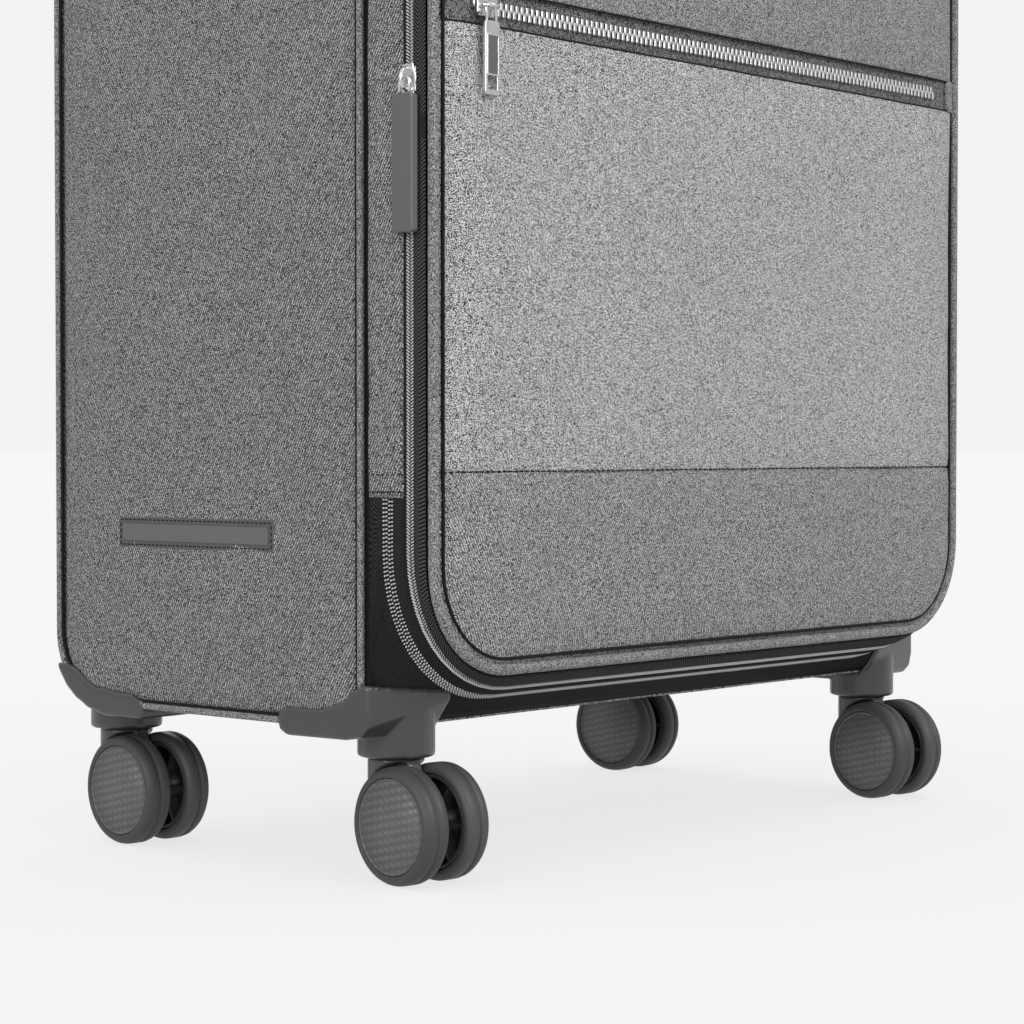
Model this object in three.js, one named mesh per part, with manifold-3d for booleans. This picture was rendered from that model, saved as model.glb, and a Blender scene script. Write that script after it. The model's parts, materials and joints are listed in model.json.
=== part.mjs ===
// Softside upright suitcase, cabin size, on four swivelling twin-wheel casters.
// Millimetres, +Z up. The front faces -Y, and the lid's fabric hinge is on the -X side.
// The finished group has its origin on the ground, at the bottom centre of its bounding box.

import * as THREE from "three";
import { mergeVertices } from "three/addons/utils/BufferGeometryUtils.js";
import Module from "manifold-3d";

const wasm = await Module();
wasm.setup();

const GAP = 0.3; // between pieces that touch on the real case
const DEGREE = Math.PI / 180;

// ---- driving dimensions -------------------------------------------------------------

const BAG = { half: 197, low: 63, high: 530, front: -77, back: 113 };
const WALL = 5; // foam, board and lining together
const REAR_RADIUS = { low: 30, high: 20 };
const FRONT_CORNER = 8; // of the side panels, where the rim starts
const CORNER_STEPS = 6;

// The case narrows towards the front in stations: depth, inset from the bag's own
// outline at the sides, at the top and bottom, and the corner radius there.
const STATION = {
  rimRear: { y: -77.3, side: 0, end: 0, radius: FRONT_CORNER },
  mainZipRear: { y: -85.6, side: 1.2, end: 9.5, radius: 60 },
  mainZipFront: { y: -92.4, side: 1.8, end: 11.5, radius: 60 },
  expanderRear: { y: -98.8, side: 2.4, end: 14, radius: 57 },
  expanderFront: { y: -103.4, side: 2.8, end: 16.5, radius: 54 },
  piping: { y: -109, side: 3.5, end: 21, radius: 45 },
  face: { y: -112, side: 9, end: 26.5, radius: 39 },
};
const GUSSET = 4; // thickness of the padded rings between the zips
const ZIP = 2; // thickness of a zip's chain and tape
const HINGE = { low: 156, high: 437 }; // the stretch of the left side without a main zip

const WHEEL = {
  radius: 24, inner: 4.7, outer: 17.3, bore: 2.7, blind: 15.5, cap: 20, rim: 19.5, hub: 6, hollow: 9,
};
const CASTER = { x: 171, frontY: -70, backY: 98, trail: 15.5 };
const CASTER_REST = { front_left: -6, front_right: -6.6, rear_left: -3.4, rear_right: 2.3 };
const HOUSING = {
  skin: 2.2, inner: 157.5, bossRadius: 15.5, bossLow: 50.5, bossHigh: 76, stemHole: 5.4, stemHoleHigh: 61.5,
};
const FORK = { column: 11.8, low: 30, web: 3.7, hub: 7, stem: 5, clearance: 1.2, reach: 30 };
const AXLE = { radius: 2.4, half: 15.2 };

const TUBE_X = 85;
const TUBE_Y = 88;
const TUBE_WALL = 1.2;
const TUBE = {
  outer: { width: 22, depth: 17, low: 80, high: 515.7 },
  middle: { width: 18.4, depth: 13.4, low: 86, high: 519.6 },
  inner: { width: 14.8, depth: 9.8, low: 92, high: 531 },
};
const TRAY = { half: 109, front: 60, back: 106, floor: 516, wall: 2, floorWall: 3 };
const TRAY_FLANGE = { reach: 5, thick: 3.7, drop: 11 };
const TRAY_SLOT = { room: 1, radius: 4.4 };
const GRIP = { half: 101, front: 75, back: 101, low: 520, high: 544, radius: 10 };
const BUTTON = { half: 18, depth: 7, sink: 9, height: 7, proud: 1.8, gap: 0.4 };

const CARRY = {
  half: 68, crownHalf: 46, thick: 7, width: 27, gap: 12.5, anchor: 30, cap: 8,
  foot: 2, footLength: 6, footThick: 5,
};
const ANCHOR = { overhang: 2, radius: 5 };
const TOP_CARRY_Y = -12;
const SIDE_CARRY = { y: 18, z: 296.5 };

const PLAQUE = { front: -29.7, back: 67.5, low: 132.4, high: 146.3, thick: 3 };
const POCKET_ZIP = { left: -172, right: 168, z: 350, width: 5.6, thick: 1.2 };
const POCKET_SLIDER_X = -166;
const EXPANDER_SLIDER_Z = 319.5;
const MAIN_SLIDER_X = 9; // each side of the middle, on the top

// ---- solids ---------------------------------------------------------------------------

function toWelded(geometry) {
  const bare = geometry.clone();
  bare.deleteAttribute("normal");
  bare.deleteAttribute("uv");
  return mergeVertices(bare, 1e-3);
}

function toSolid(geometry) {
  const welded = toWelded(geometry);
  return new wasm.Manifold(new wasm.Mesh({
    numProp: 3,
    vertProperties: new Float32Array(welded.attributes.position.array),
    triVerts: new Uint32Array(welded.index.array),
  }));
}

function toGeometry(solid) {
  const { vertProperties, triVerts } = solid.getMesh();
  const geometry = new THREE.BufferGeometry();
  geometry.setAttribute("position", new THREE.BufferAttribute(vertProperties, 3));
  geometry.setIndex(new THREE.BufferAttribute(triVerts, 1));
  return geometry;
}

// Lathe profiles drawn from the outer face inwards come out with their faces reversed.
function facingOut(geometry) {
  const welded = toWelded(geometry);
  const index = welded.index.array;
  const position = welded.attributes.position;
  const corner = (i) => new THREE.Vector3().fromBufferAttribute(position, index[i]);
  let total = 0;
  for (let i = 0; i < index.length; i += 3) {
    total += corner(i).dot(corner(i + 1).cross(corner(i + 2)));
  }
  if (total < 0) index.reverse();
  return welded;
}

function join(...geometries) {
  return toGeometry(geometries.map(toSolid).reduce((sum, next) => sum.add(next)));
}

function cut(geometry, ...tools) {
  return toGeometry(tools.map(toSolid).reduce((sum, next) => sum.subtract(next), toSolid(geometry)));
}

function overlap(first, second) {
  return toGeometry(toSolid(first).intersect(toSolid(second)));
}

function mirrorX(geometry) {
  const flipped = geometry.clone().scale(-1, 1, 1);
  const index = flipped.index.array;
  for (let i = 0; i < index.length; i += 3) {
    [index[i + 1], index[i + 2]] = [index[i + 2], index[i + 1]];
  }
  return flipped;
}

function box(x0, x1, y0, y1, z0, z1) {
  const geometry = new THREE.BoxGeometry(x1 - x0, y1 - y0, z1 - z0);
  return geometry.translate((x0 + x1) / 2, (y0 + y1) / 2, (z0 + z1) / 2);
}

function uprightCylinder(radius, z0, z1, segments = 32) {
  const geometry = new THREE.CylinderGeometry(radius, radius, z1 - z0, segments);
  return geometry.rotateX(Math.PI / 2).translate(0, 0, (z0 + z1) / 2);
}

function crossCylinder(radius, x0, x1, segments = 32) {
  const geometry = new THREE.CylinderGeometry(radius, radius, x1 - x0, segments);
  return geometry.rotateZ(Math.PI / 2).translate((x0 + x1) / 2, 0, 0);
}

function extrude(outline, depth, holes = []) {
  const shape = outline instanceof THREE.Shape ? outline : new THREE.Shape(outline);
  shape.holes = holes;
  return new THREE.ExtrudeGeometry(shape, { depth, bevelEnabled: false, curveSegments: 4 });
}

// An outline in (y, z) pulled out along X, and one in (x, z) pulled out along Y.
function extrudeAlongX(outline, x0, x1) {
  const turn = new THREE.Matrix4().makeBasis(
    new THREE.Vector3(0, 1, 0), new THREE.Vector3(0, 0, 1), new THREE.Vector3(1, 0, 0));
  return extrude(outline, x1 - x0).applyMatrix4(turn).translate(x0, 0, 0);
}

function extrudeAlongY(outline, y0, y1) {
  return extrude(outline, y1 - y0).rotateX(Math.PI / 2).translate(0, y1, 0);
}

function roundedRectangle(width, height, radius, Kind = THREE.Shape) {
  const w = width / 2;
  const h = height / 2;
  const shape = new Kind();
  shape.moveTo(-w + radius, -h);
  shape.lineTo(w - radius, -h);
  shape.absarc(w - radius, -h + radius, radius, -Math.PI / 2, 0);
  shape.lineTo(w, h - radius);
  shape.absarc(w - radius, h - radius, radius, 0, Math.PI / 2);
  shape.lineTo(-w + radius, h);
  shape.absarc(-w + radius, h - radius, radius, Math.PI / 2, Math.PI);
  shape.lineTo(-w, -h + radius);
  shape.absarc(-w + radius, -h + radius, radius, Math.PI, Math.PI * 1.5);
  return shape;
}

function arcPoints(x, y, radius, from, to, steps = CORNER_STEPS) {
  return Array.from({ length: steps + 1 }, (_, i) => {
    const angle = from + (to - from) * i / steps;
    return new THREE.Vector2(x + radius * Math.cos(angle), y + radius * Math.sin(angle));
  });
}

// A closed body through rows of points. Rows and columns wrap round, or end in flat caps.
function loft(rows, { wrapRows, wrapColumns }) {
  const columns = rows[0].length;
  const triangles = [];
  const at = (i, j) => (i % rows.length) * columns + (j % columns);
  const lastRow = wrapRows ? rows.length : rows.length - 1;
  const lastColumn = wrapColumns ? columns : columns - 1;
  for (let i = 0; i < lastRow; i += 1) {
    for (let j = 0; j < lastColumn; j += 1) {
      triangles.push(at(i, j), at(i + 1, j), at(i + 1, j + 1));
      triangles.push(at(i, j), at(i + 1, j + 1), at(i, j + 1));
    }
  }
  if (!wrapRows) {
    for (let j = 1; j < columns - 1; j += 1) {
      triangles.push(at(0, 0), at(0, j), at(0, j + 1));
      triangles.push(at(rows.length - 1, 0), at(rows.length - 1, j + 1), at(rows.length - 1, j));
    }
  }
  if (!wrapColumns) {
    for (let i = 1; i < rows.length - 1; i += 1) {
      triangles.push(at(0, 0), at(i + 1, 0), at(i, 0));
      triangles.push(at(0, columns - 1), at(i, columns - 1), at(i + 1, columns - 1));
    }
  }
  const points = rows.flat();
  const volume = (k) => points[triangles[k]].dot(
    points[triangles[k + 1]].clone().cross(points[triangles[k + 2]]));
  let total = 0;
  for (let k = 0; k < triangles.length; k += 3) total += volume(k);
  if (total < 0) triangles.reverse();
  return new THREE.BufferGeometry().setFromPoints(points).setIndex(triangles);
}

// ---- the outline of the case seen from the front -----------------------------------------

// The station's outline, drawn in by inset. With open ends it leaves out the hinge stretch.
function outlineRow(station, inset = 0, open = false) {
  const half = BAG.half - station.side - inset;
  const low = BAG.low + station.end + inset;
  const high = BAG.high - station.end - inset;
  const radius = Math.max(station.radius - inset, 2);
  const centres = [
    [-half + radius, low + radius, Math.PI],
    [half - radius, low + radius, 1.5 * Math.PI],
    [half - radius, high - radius, 2 * Math.PI],
    [-half + radius, high - radius, 2.5 * Math.PI],
  ];
  const flat = centres.flatMap(([x, z, start]) => arcPoints(x, z, radius, start, start + Math.PI / 2));
  if (open) {
    flat.unshift(new THREE.Vector2(-half, HINGE.low - GAP));
    flat.push(new THREE.Vector2(-half, HINGE.high + GAP));
  }
  return flat.map((point) => new THREE.Vector3(point.x, station.y, point.y));
}

function shifted(station, dy) {
  return { ...station, y: station.y + dy };
}

// A ring of material, thick inwards, from one station forward to the next.
function ring(rear, front, thick, inset = 0, open = false) {
  const rows = [
    outlineRow(rear, inset, open),
    outlineRow(front, inset, open),
    outlineRow(front, inset + thick, open),
    outlineRow(rear, inset + thick, open),
  ];
  return loft(rows, { wrapRows: true, wrapColumns: !open });
}

// ---- the outline of the case seen from the side --------------------------------------------

// The bag behind its rim, as (y, z) points, moved outwards by offset.
function sidePanelOutline(offset = 0) {
  const { low, high } = REAR_RADIUS;
  const r = FRONT_CORNER;
  return [
    ...arcPoints(BAG.front + r, BAG.low + r, r + offset, Math.PI, 1.5 * Math.PI),
    ...arcPoints(BAG.back - low, BAG.low + low, low + offset, -Math.PI / 2, 0),
    ...arcPoints(BAG.back - high, BAG.high - high, high + offset, 0, Math.PI / 2),
    ...arcPoints(BAG.front + r, BAG.high - r, r + offset, Math.PI / 2, Math.PI),
  ];
}

// The bottom or top panel: flat, and bent up or down round the rear corner.
function endPanel(level, towards, radius) {
  const centreY = BAG.back - radius;
  const centreZ = level + towards * radius;
  const outer = arcPoints(centreY, centreZ, radius, -towards * Math.PI / 2, 0);
  const inner = arcPoints(centreY, centreZ, radius - WALL, 0, -towards * Math.PI / 2);
  const flat = [
    new THREE.Vector2(BAG.front, level + towards * WALL),
    new THREE.Vector2(BAG.front, level),
  ];
  const reach = BAG.half - WALL - GAP;
  return extrudeAlongX([...flat, ...outer, ...inner], -reach, reach);
}

// ---- materials and placing ---------------------------------------------------------------

const finish = (color, roughness, metalness = 0) => () =>
  new THREE.MeshStandardMaterial({ color, roughness, metalness });
const melange = finish(0x6b6b6b, 0.95);
const paleMelange = finish(0x7d7d7d, 0.95);
const darkFabric = finish(0x3c3c3d, 0.95);
const lining = finish(0x55575a, 0.9);
const zipTape = finish(0x2a2a2b, 0.8);
const satinPlastic = finish(0x4b4b4c, 0.5);
const wheelPlastic = finish(0x2c2c2d, 0.6);
const rubber = finish(0x38383a, 0.45);
const steel = finish(0xb4b4b2, 0.3, 1);
const aluminium = finish(0xa7a9ac, 0.35, 1);

function piece(parent, name, geometry, material) {
  const mesh = new THREE.Mesh(geometry, material());
  mesh.name = name;
  parent.add(mesh);
  return mesh;
}

function groupAt(parent, x, y, z) {
  const group = new THREE.Group();
  group.position.set(x, y, z);
  parent.add(group);
  return group;
}

const suitcase = new THREE.Group();

// ---- bag -------------------------------------------------------------------------------

const sidePanel = extrudeAlongX(sidePanelOutline(), -BAG.half, -BAG.half + WALL);
piece(suitcase, "side_panel_left", sidePanel, melange);
piece(suitcase, "side_panel_right", sidePanel.clone().translate(2 * BAG.half - WALL, 0, 0), melange);

const bandHalf = BAG.half - WALL - GAP;
const backLow = BAG.low + REAR_RADIUS.low + GAP;
const backHigh = BAG.high - REAR_RADIUS.high - GAP;
piece(suitcase, "back_panel",
  box(-bandHalf, bandHalf, BAG.back - WALL, BAG.back, backLow, backHigh), melange);
piece(suitcase, "bottom_panel", endPanel(BAG.low, 1, REAR_RADIUS.low), darkFabric);

const trayHole = box(
  -TRAY.half - GAP, TRAY.half + GAP, TRAY.front - GAP, TRAY.back + GAP, TRAY.floor, BAG.high + 1);
piece(suitcase, "top_panel", cut(endPanel(BAG.high, -1, REAR_RADIUS.high), trayHole), melange);

piece(suitcase, "front_rim",
  ring(STATION.rimRear, STATION.mainZipRear, GUSSET), darkFabric);
piece(suitcase, "main_zip",
  ring(shifted(STATION.mainZipRear, -GAP), STATION.mainZipFront, ZIP, 0, true), zipTape);

const plaqueOutline = roundedRectangle(
  PLAQUE.back - PLAQUE.front, PLAQUE.high - PLAQUE.low, 1.5);
piece(suitcase, "side_plaque",
  extrudeAlongX(plaqueOutline, 0, PLAQUE.thick).translate(
    -BAG.half - GAP - PLAQUE.thick, (PLAQUE.front + PLAQUE.back) / 2, (PLAQUE.low + PLAQUE.high) / 2),
  rubber);

const BOARD = { front: 73, back: 76, top: TRAY.floor - 4 };
piece(suitcase, "inner_board",
  box(-bandHalf, bandHalf, BOARD.front, BOARD.back, BAG.low + WALL + GAP, BOARD.top), lining);

// ---- wheel housings: corner guards with a boss for the caster's stem ---------------------------

// A prism along X whose section changes evenly from one (y, z) outline to another like it.
function taperAlongX(outline, endOutline, x0, x1) {
  const geometry = extrudeAlongX(outline.map(([y, z]) => new THREE.Vector2(y, z)), x0, x1);
  const position = geometry.attributes.position;
  for (let i = 0; i < position.count; i += 1) {
    if (position.getX(i) > (x0 + x1) / 2) {
      const distance = ([y, z]) => Math.hypot(y - position.getY(i), z - position.getZ(i));
      const [y, z] = endOutline[outline.findIndex((point) => distance(point) < 1e-3)];
      position.setXYZ(i, x1, y, z);
    }
  }
  return geometry;
}

// The guards seen from the side: an arm along the bag's edge, a sole under the bag, and in front
// an upright lip over a face that slopes down and back. The lip stands lower and further forward
// at the guard's inner end, under the lid's round corner.
const FRONT_GUARD = [
  [-77, 80.8], [-81.3, 80.8], [-81.3, 70], [-80.2, 64], [-77, 60.6], [-68, 59], [-35, 58.6], [-31, 60.6],
  [-29.5, 64.5], [-31, 68.2], [-35, 69.5], [-54, 69.8], [-66, 73.2], [-73, 78.2],
];
const FRONT_GUARD_INNER = [
  [-80, 76.8], [-88, 76.8], [-88, 74], [-78, 60.4], [-68, 58.6], [-52, 58.6], [-35, 58.6], [-31, 60.6],
  [-29.5, 64.5], [-31, 68.2], [-35, 69.5], [-54, 69.8], [-66, 71], [-73, 73.6],
];
const REAR_GUARD = [
  [120, 45], [120, 79.5], [105, 79.5], [99, 77.4], [92, 72.6], [84, 69.6], [75, 68.8], [63, 68.9],
  [58.4, 66.6], [55.7, 63.7], [55, 45],
];
const REAR_SOLE = [
  [55, 66], [55, 60.2], [57, 58.6], [80, 58.6], [92, 61.6], [100, 66.5], [100, 70], [80, 70],
];

function wheelHousing(guard, swivelY) {
  const { bossRadius, bossLow, bossHigh, stemHole, stemHoleHigh } = HOUSING;
  const boss = uprightCylinder(bossRadius, bossLow, bossHigh).translate(-CASTER.x, swivelY, 0);
  const bag = extrudeAlongX(sidePanelOutline(GAP), -BAG.half - GAP, 0);
  const rim = loft(
    [STATION.rimRear, STATION.mainZipRear, STATION.mainZipFront].map((station) => outlineRow(station, -GAP)),
    { wrapRows: false, wrapColumns: true });
  const squareCorner = box(
    -BAG.half - GAP, 0, BAG.front - GAP, BAG.front + FRONT_CORNER, BAG.low - GAP, BAG.low + FRONT_CORNER);
  const hole = uprightCylinder(stemHole, 0, stemHoleHigh, 16).translate(-CASTER.x, swivelY, 0);
  return cut(join(guard, boss), bag, squareCorner, rim, hole);
}

const guardOutside = -BAG.half - HOUSING.skin;
const frontGuard = taperAlongX(FRONT_GUARD, FRONT_GUARD_INNER, guardOutside, -HOUSING.inner);
const rearShell = overlap(
  extrudeAlongX(sidePanelOutline(HOUSING.skin), guardOutside, -HOUSING.inner),
  taperAlongX(REAR_GUARD, REAR_GUARD, guardOutside - 1, -HOUSING.inner));
const rearGuard = join(rearShell, taperAlongX(REAR_SOLE, REAR_SOLE, guardOutside, -HOUSING.inner));
const frontHousing = wheelHousing(frontGuard, CASTER.frontY);
const rearHousing = wheelHousing(rearGuard, CASTER.backY);
piece(suitcase, "wheel_housing_front_left", frontHousing, satinPlastic);
piece(suitcase, "wheel_housing_front_right", mirrorX(frontHousing), satinPlastic);
piece(suitcase, "wheel_housing_rear_left", rearHousing, satinPlastic);
piece(suitcase, "wheel_housing_rear_right", mirrorX(rearHousing), satinPlastic);

// ---- casters: swivel on Z, with two wheels on one axle behind the stem -------------------------

function casterFork() {
  const { column, low, web, hub, stem, clearance, reach } = FORK;
  const post = uprightCylinder(column, low, HOUSING.bossLow - GAP);
  const wheelSpace = crossCylinder(WHEEL.radius + clearance, web + 0.2, reach)
    .translate(0, -CASTER.trail, WHEEL.radius);
  const webTop = HOUSING.bossLow - 1.5;
  const webOutline = [
    new THREE.Vector2(-column + 0.8, webTop),
    ...arcPoints(-CASTER.trail, WHEEL.radius, hub, 0.95 * Math.PI, 1.75 * Math.PI),
    new THREE.Vector2(3, low + 3),
    new THREE.Vector2(column - 0.8, low + 11),
    new THREE.Vector2(column - 0.8, webTop),
  ];
  const plate = extrudeAlongX(webOutline, -web, web);
  const pin = uprightCylinder(stem, webTop - 1, HOUSING.stemHoleHigh - 0.5, 16);
  const axleHole = crossCylinder(WHEEL.bore, -web - 1, web + 1, 16)
    .translate(0, -CASTER.trail, WHEEL.radius);
  const otherSide = wheelSpace.clone().translate(-reach - web - 0.2, 0, 0);
  return cut(join(cut(post, wheelSpace, otherSide), plate, pin), axleHole);
}

// Half a wheel's section, as (radius, along the axle) points: cap, tyre, then the hollow inner side.
function casterWheel() {
  const { radius, inner, outer, bore, blind, cap, rim, hub, hollow } = WHEEL;
  const profile = [
    [0, outer], [cap, outer], [radius - 0.6, outer - 1], [radius, outer - 2.6], [radius, inner + 2.2],
    [radius - 1.5, inner], [rim, inner], [rim, hollow], [hub, hollow], [hub, inner], [bore, inner],
    [bore, blind], [0, blind],
  ];
  const points = profile.map(([r, along]) => new THREE.Vector2(r, along));
  return new THREE.LatheGeometry(points, 26).rotateZ(-Math.PI / 2);
}

const fork = casterFork();
const rightWheel = facingOut(casterWheel());
const leftWheel = mirrorX(rightWheel);
for (const [corner, turn] of Object.entries(CASTER_REST)) {
  const side = corner.endsWith("left") ? -1 : 1;
  const y = corner.startsWith("front") ? CASTER.frontY : CASTER.backY;
  const caster = groupAt(suitcase, side * CASTER.x, y, 0);
  caster.rotation.z = turn * DEGREE;
  piece(caster, `caster_fork_${corner}`, fork, satinPlastic);
  const axle = groupAt(caster, 0, -CASTER.trail, WHEEL.radius);
  piece(axle, `axle_${corner}`, crossCylinder(AXLE.radius, -AXLE.half, AXLE.half, 16), steel);
  piece(axle, `wheel_${corner}_left`, leftWheel, wheelPlastic);
  piece(axle, `wheel_${corner}_right`, rightWheel, wheelPlastic);
}

// ---- telescopic handle ------------------------------------------------------------------

function handleTube({ width, depth, low, high }, x) {
  const bore = roundedRectangle(width - 2 * TUBE_WALL, depth - 2 * TUBE_WALL, 3, THREE.Path);
  const wall = extrude(roundedRectangle(width, depth, 4), high - low, [bore]);
  return wall.translate(x, TUBE_Y, low);
}

for (const [side, x] of [["left", -TUBE_X], ["right", TUBE_X]]) {
  for (const stage of ["outer", "middle", "inner"]) {
    piece(suitcase, `handle_tube_${stage}_${side}`, handleTube(TUBE[stage], x), aluminium);
  }
}

// The foot of the tubes rests where the bottom panel's rear corner begins to rise.
const BASE = { half: 102, front: 78, back: 98, low: 73.6 };
piece(suitcase, "handle_base",
  box(-BASE.half, BASE.half, BASE.front, BASE.back, BASE.low, TUBE.outer.low - GAP), wheelPlastic);

// The tray is sunk into the top panel; its flange follows the panel round the rear corner.
function handleTray() {
  const { half, front, back, floor, wall, floorWall } = TRAY;
  const { reach, thick, drop } = TRAY_FLANGE;
  const shell = box(-half, half, front, back, floor, BAG.high + 1);
  const flangeZone = box(
    -half - reach, half + reach, front - reach, back + reach, BAG.high - drop, BAG.high + thick + 1);
  const flange = overlap(
    cut(extrudeAlongX(sidePanelOutline(thick + GAP), -half - reach, half + reach),
      extrudeAlongX(sidePanelOutline(GAP), -half - reach - 1, half + reach + 1)),
    flangeZone);
  const space = box(
    -half + wall, half - wall, front + wall, back - wall, floor + floorWall, BAG.high + 20);
  const slots = [-TUBE_X, TUBE_X].map((x) => {
    const { width, depth } = TUBE.middle;
    const slot = roundedRectangle(width + TRAY_SLOT.room, depth + TRAY_SLOT.room, TRAY_SLOT.radius);
    return extrude(slot, 20).translate(x, TUBE_Y, floor - 5);
  });
  return cut(join(shell, flange), space, ...slots);
}
piece(suitcase, "handle_tray", handleTray(), satinPlastic);

function handleGrip() {
  const depth = GRIP.back - GRIP.front;
  const middle = (GRIP.front + GRIP.back) / 2;
  const bevel = 3;
  const body = new THREE.ExtrudeGeometry(
    roundedRectangle(2 * (GRIP.half - bevel), GRIP.high - GRIP.low - 2 * bevel, GRIP.radius - bevel),
    { depth: depth - 2 * bevel, bevelThickness: bevel, bevelSize: bevel, bevelSegments: 2, curveSegments: 4 });
  body.rotateX(Math.PI / 2).translate(0, GRIP.back - bevel, (GRIP.low + GRIP.high) / 2);
  const sockets = [-TUBE_X, TUBE_X].map((x) => {
    const { width, depth: tubeDepth, high } = TUBE.inner;
    const socket = roundedRectangle(width + 2 * GAP, tubeDepth + 2 * GAP, 4.2);
    return extrude(socket, high + GAP - GRIP.low + 5).translate(x, TUBE_Y, GRIP.low - 5);
  });
  const pocket = box(
    -BUTTON.half - BUTTON.gap, BUTTON.half + BUTTON.gap,
    middle - BUTTON.depth - BUTTON.gap, middle + BUTTON.depth + BUTTON.gap,
    GRIP.high - BUTTON.sink, GRIP.high + 5);
  return cut(body, ...sockets, pocket);
}
piece(suitcase, "handle_grip", handleGrip(), rubber);

const buttonTop = GRIP.high + BUTTON.proud;
const button = extrude(roundedRectangle(2 * BUTTON.half, 2 * BUTTON.depth, 3), BUTTON.height);
piece(suitcase, "release_button",
  button.translate(0, (GRIP.front + GRIP.back) / 2, buttonTop - BUTTON.height), satinPlastic);

// ---- carry handles: a padded strap between two anchors, built lying along X and rising along Z -----

function carryStrap() {
  const { half, crownHalf, thick, width, gap, foot, footLength, footThick } = CARRY;
  const shoulder = crownHalf + 3;
  const outline = [
    [-half, foot], [footLength - half, foot], [-crownHalf, gap], [crownHalf, gap], [half - footLength, foot],
    [half, foot], [half, foot + footThick], [shoulder, gap + thick], [-shoulder, gap + thick],
    [-half, foot + footThick],
  ].map(([x, z]) => new THREE.Vector2(x, z));
  return extrudeAlongY(outline, -width / 2, width / 2);
}

function carryAnchor(side) {
  const { half, anchor, cap, width } = CARRY;
  const { overhang, radius } = ANCHOR;
  const block = extrude(roundedRectangle(anchor, width + 2 * overhang, radius), cap);
  return block.translate(side * (half + GAP + anchor / 2), 0, GAP);
}

function carryHandle(name, place) {
  const handle = groupAt(suitcase, ...place.position);
  handle.rotation.copy(place.rotation);
  piece(handle, `${name}_carry_handle`, carryStrap(), rubber);
  piece(handle, `${name}_carry_anchor_a`, carryAnchor(-1), satinPlastic);
  piece(handle, `${name}_carry_anchor_b`, carryAnchor(1), satinPlastic);
}
carryHandle("top", { position: [0, TOP_CARRY_Y, BAG.high], rotation: new THREE.Euler(0, 0, 0) });
carryHandle("side", {
  position: [BAG.half, SIDE_CARRY.y, SIDE_CARRY.z],
  rotation: new THREE.Euler(0, Math.PI / 2, 0),
});

// ---- lid ---------------------------------------------------------------------------------

const hingeX = -BAG.half + STATION.mainZipRear.side;
piece(suitcase, "hinge_strip",
  box(hingeX, hingeX + ZIP, STATION.mainZipFront.y, STATION.mainZipRear.y - GAP, HINGE.low, HINGE.high),
  darkFabric);
piece(suitcase, "lid_frame",
  ring(shifted(STATION.mainZipFront, -GAP), STATION.expanderRear, GUSSET), darkFabric);
piece(suitcase, "expander_zip",
  ring(shifted(STATION.expanderRear, -GAP), STATION.expanderFront, ZIP), zipTape);
piece(suitcase, "expander_gusset",
  ring(shifted(STATION.expanderRear, -GAP), STATION.expanderFront, 1.2, ZIP + GAP), lining);
piece(suitcase, "lid_panel",
  loft([
    outlineRow(shifted(STATION.expanderFront, -GAP)),
    outlineRow(STATION.piping),
    outlineRow(STATION.face),
  ], { wrapRows: false, wrapColumns: true }),
  paleMelange);

const lidFace = STATION.face.y - GAP;
piece(suitcase, "pocket_zip",
  box(POCKET_ZIP.left, POCKET_ZIP.right, lidFace - POCKET_ZIP.thick, lidFace,
    POCKET_ZIP.z - POCKET_ZIP.width / 2, POCKET_ZIP.z + POCKET_ZIP.width / 2),
  steel);

// ---- zip sliders and pulls, built facing -Y with the pull hanging down ---------------------------

const SLIDER = { length: 12, width: 8, thick: 2.4, archHalf: 1, archOut: 6.5, archSpan: 4, archBar: 1.4 };
const PIVOT = { out: 3.9, drop: 1.2, radius: 0.8, armX: 2.6, armHalf: 0.6, armLength: 6.8 };

function zipSlider(alongX) {
  const { length, width, thick, archHalf, archOut, archSpan, archBar } = SLIDER;
  const plate = extrude(roundedRectangle(alongX ? length : width, alongX ? width : length, 2.4), thick)
    .rotateX(Math.PI / 2).translate(0, -GAP, 0);
  const arch = box(-archHalf, archHalf, -archOut, -thick, -archSpan, archSpan);
  const window = box(
    -archHalf - 1, archHalf + 1, -archOut + archBar, -thick - GAP, -archSpan + 1.6, archSpan - 1.6);
  return join(plate, cut(arch, window));
}

function zipPull(length, width, thick) {
  const { radius, armX, armHalf, armLength } = PIVOT;
  const bar = crossCylinder(radius, -armX, armX, 10);
  const arm = box(armX - armHalf, armX + armHalf, -armHalf, armHalf, -armLength - 1, armHalf);
  const tab = extrude(roundedRectangle(width, length, 1.6), thick)
    .rotateX(Math.PI / 2).translate(0, thick / 2, -armLength - length / 2);
  return join(bar, arm, arm.clone().translate(-2 * armX, 0, 0), tab);
}

function sliderWithPull(name, frame, alongX, pullSize, look) {
  suitcase.add(frame);
  piece(frame, `${name}_slider`, zipSlider(alongX), steel);
  const pivot = groupAt(frame, 0, -PIVOT.out, -PIVOT.drop);
  piece(pivot, `${name}_pull`, zipPull(...pullSize), look);
}

// A frame whose local -Y points out of the surface, and whose local -Z is where the pull lies.
function surfaceFrame(position, outward, pullTowards) {
  const y = new THREE.Vector3(...outward).normalize().negate();
  const z = new THREE.Vector3(...pullTowards).normalize().negate();
  const x = y.clone().cross(z);
  const frame = new THREE.Group();
  frame.applyMatrix4(new THREE.Matrix4().makeBasis(x, y, z));
  frame.position.set(...position);
  return frame;
}

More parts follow.
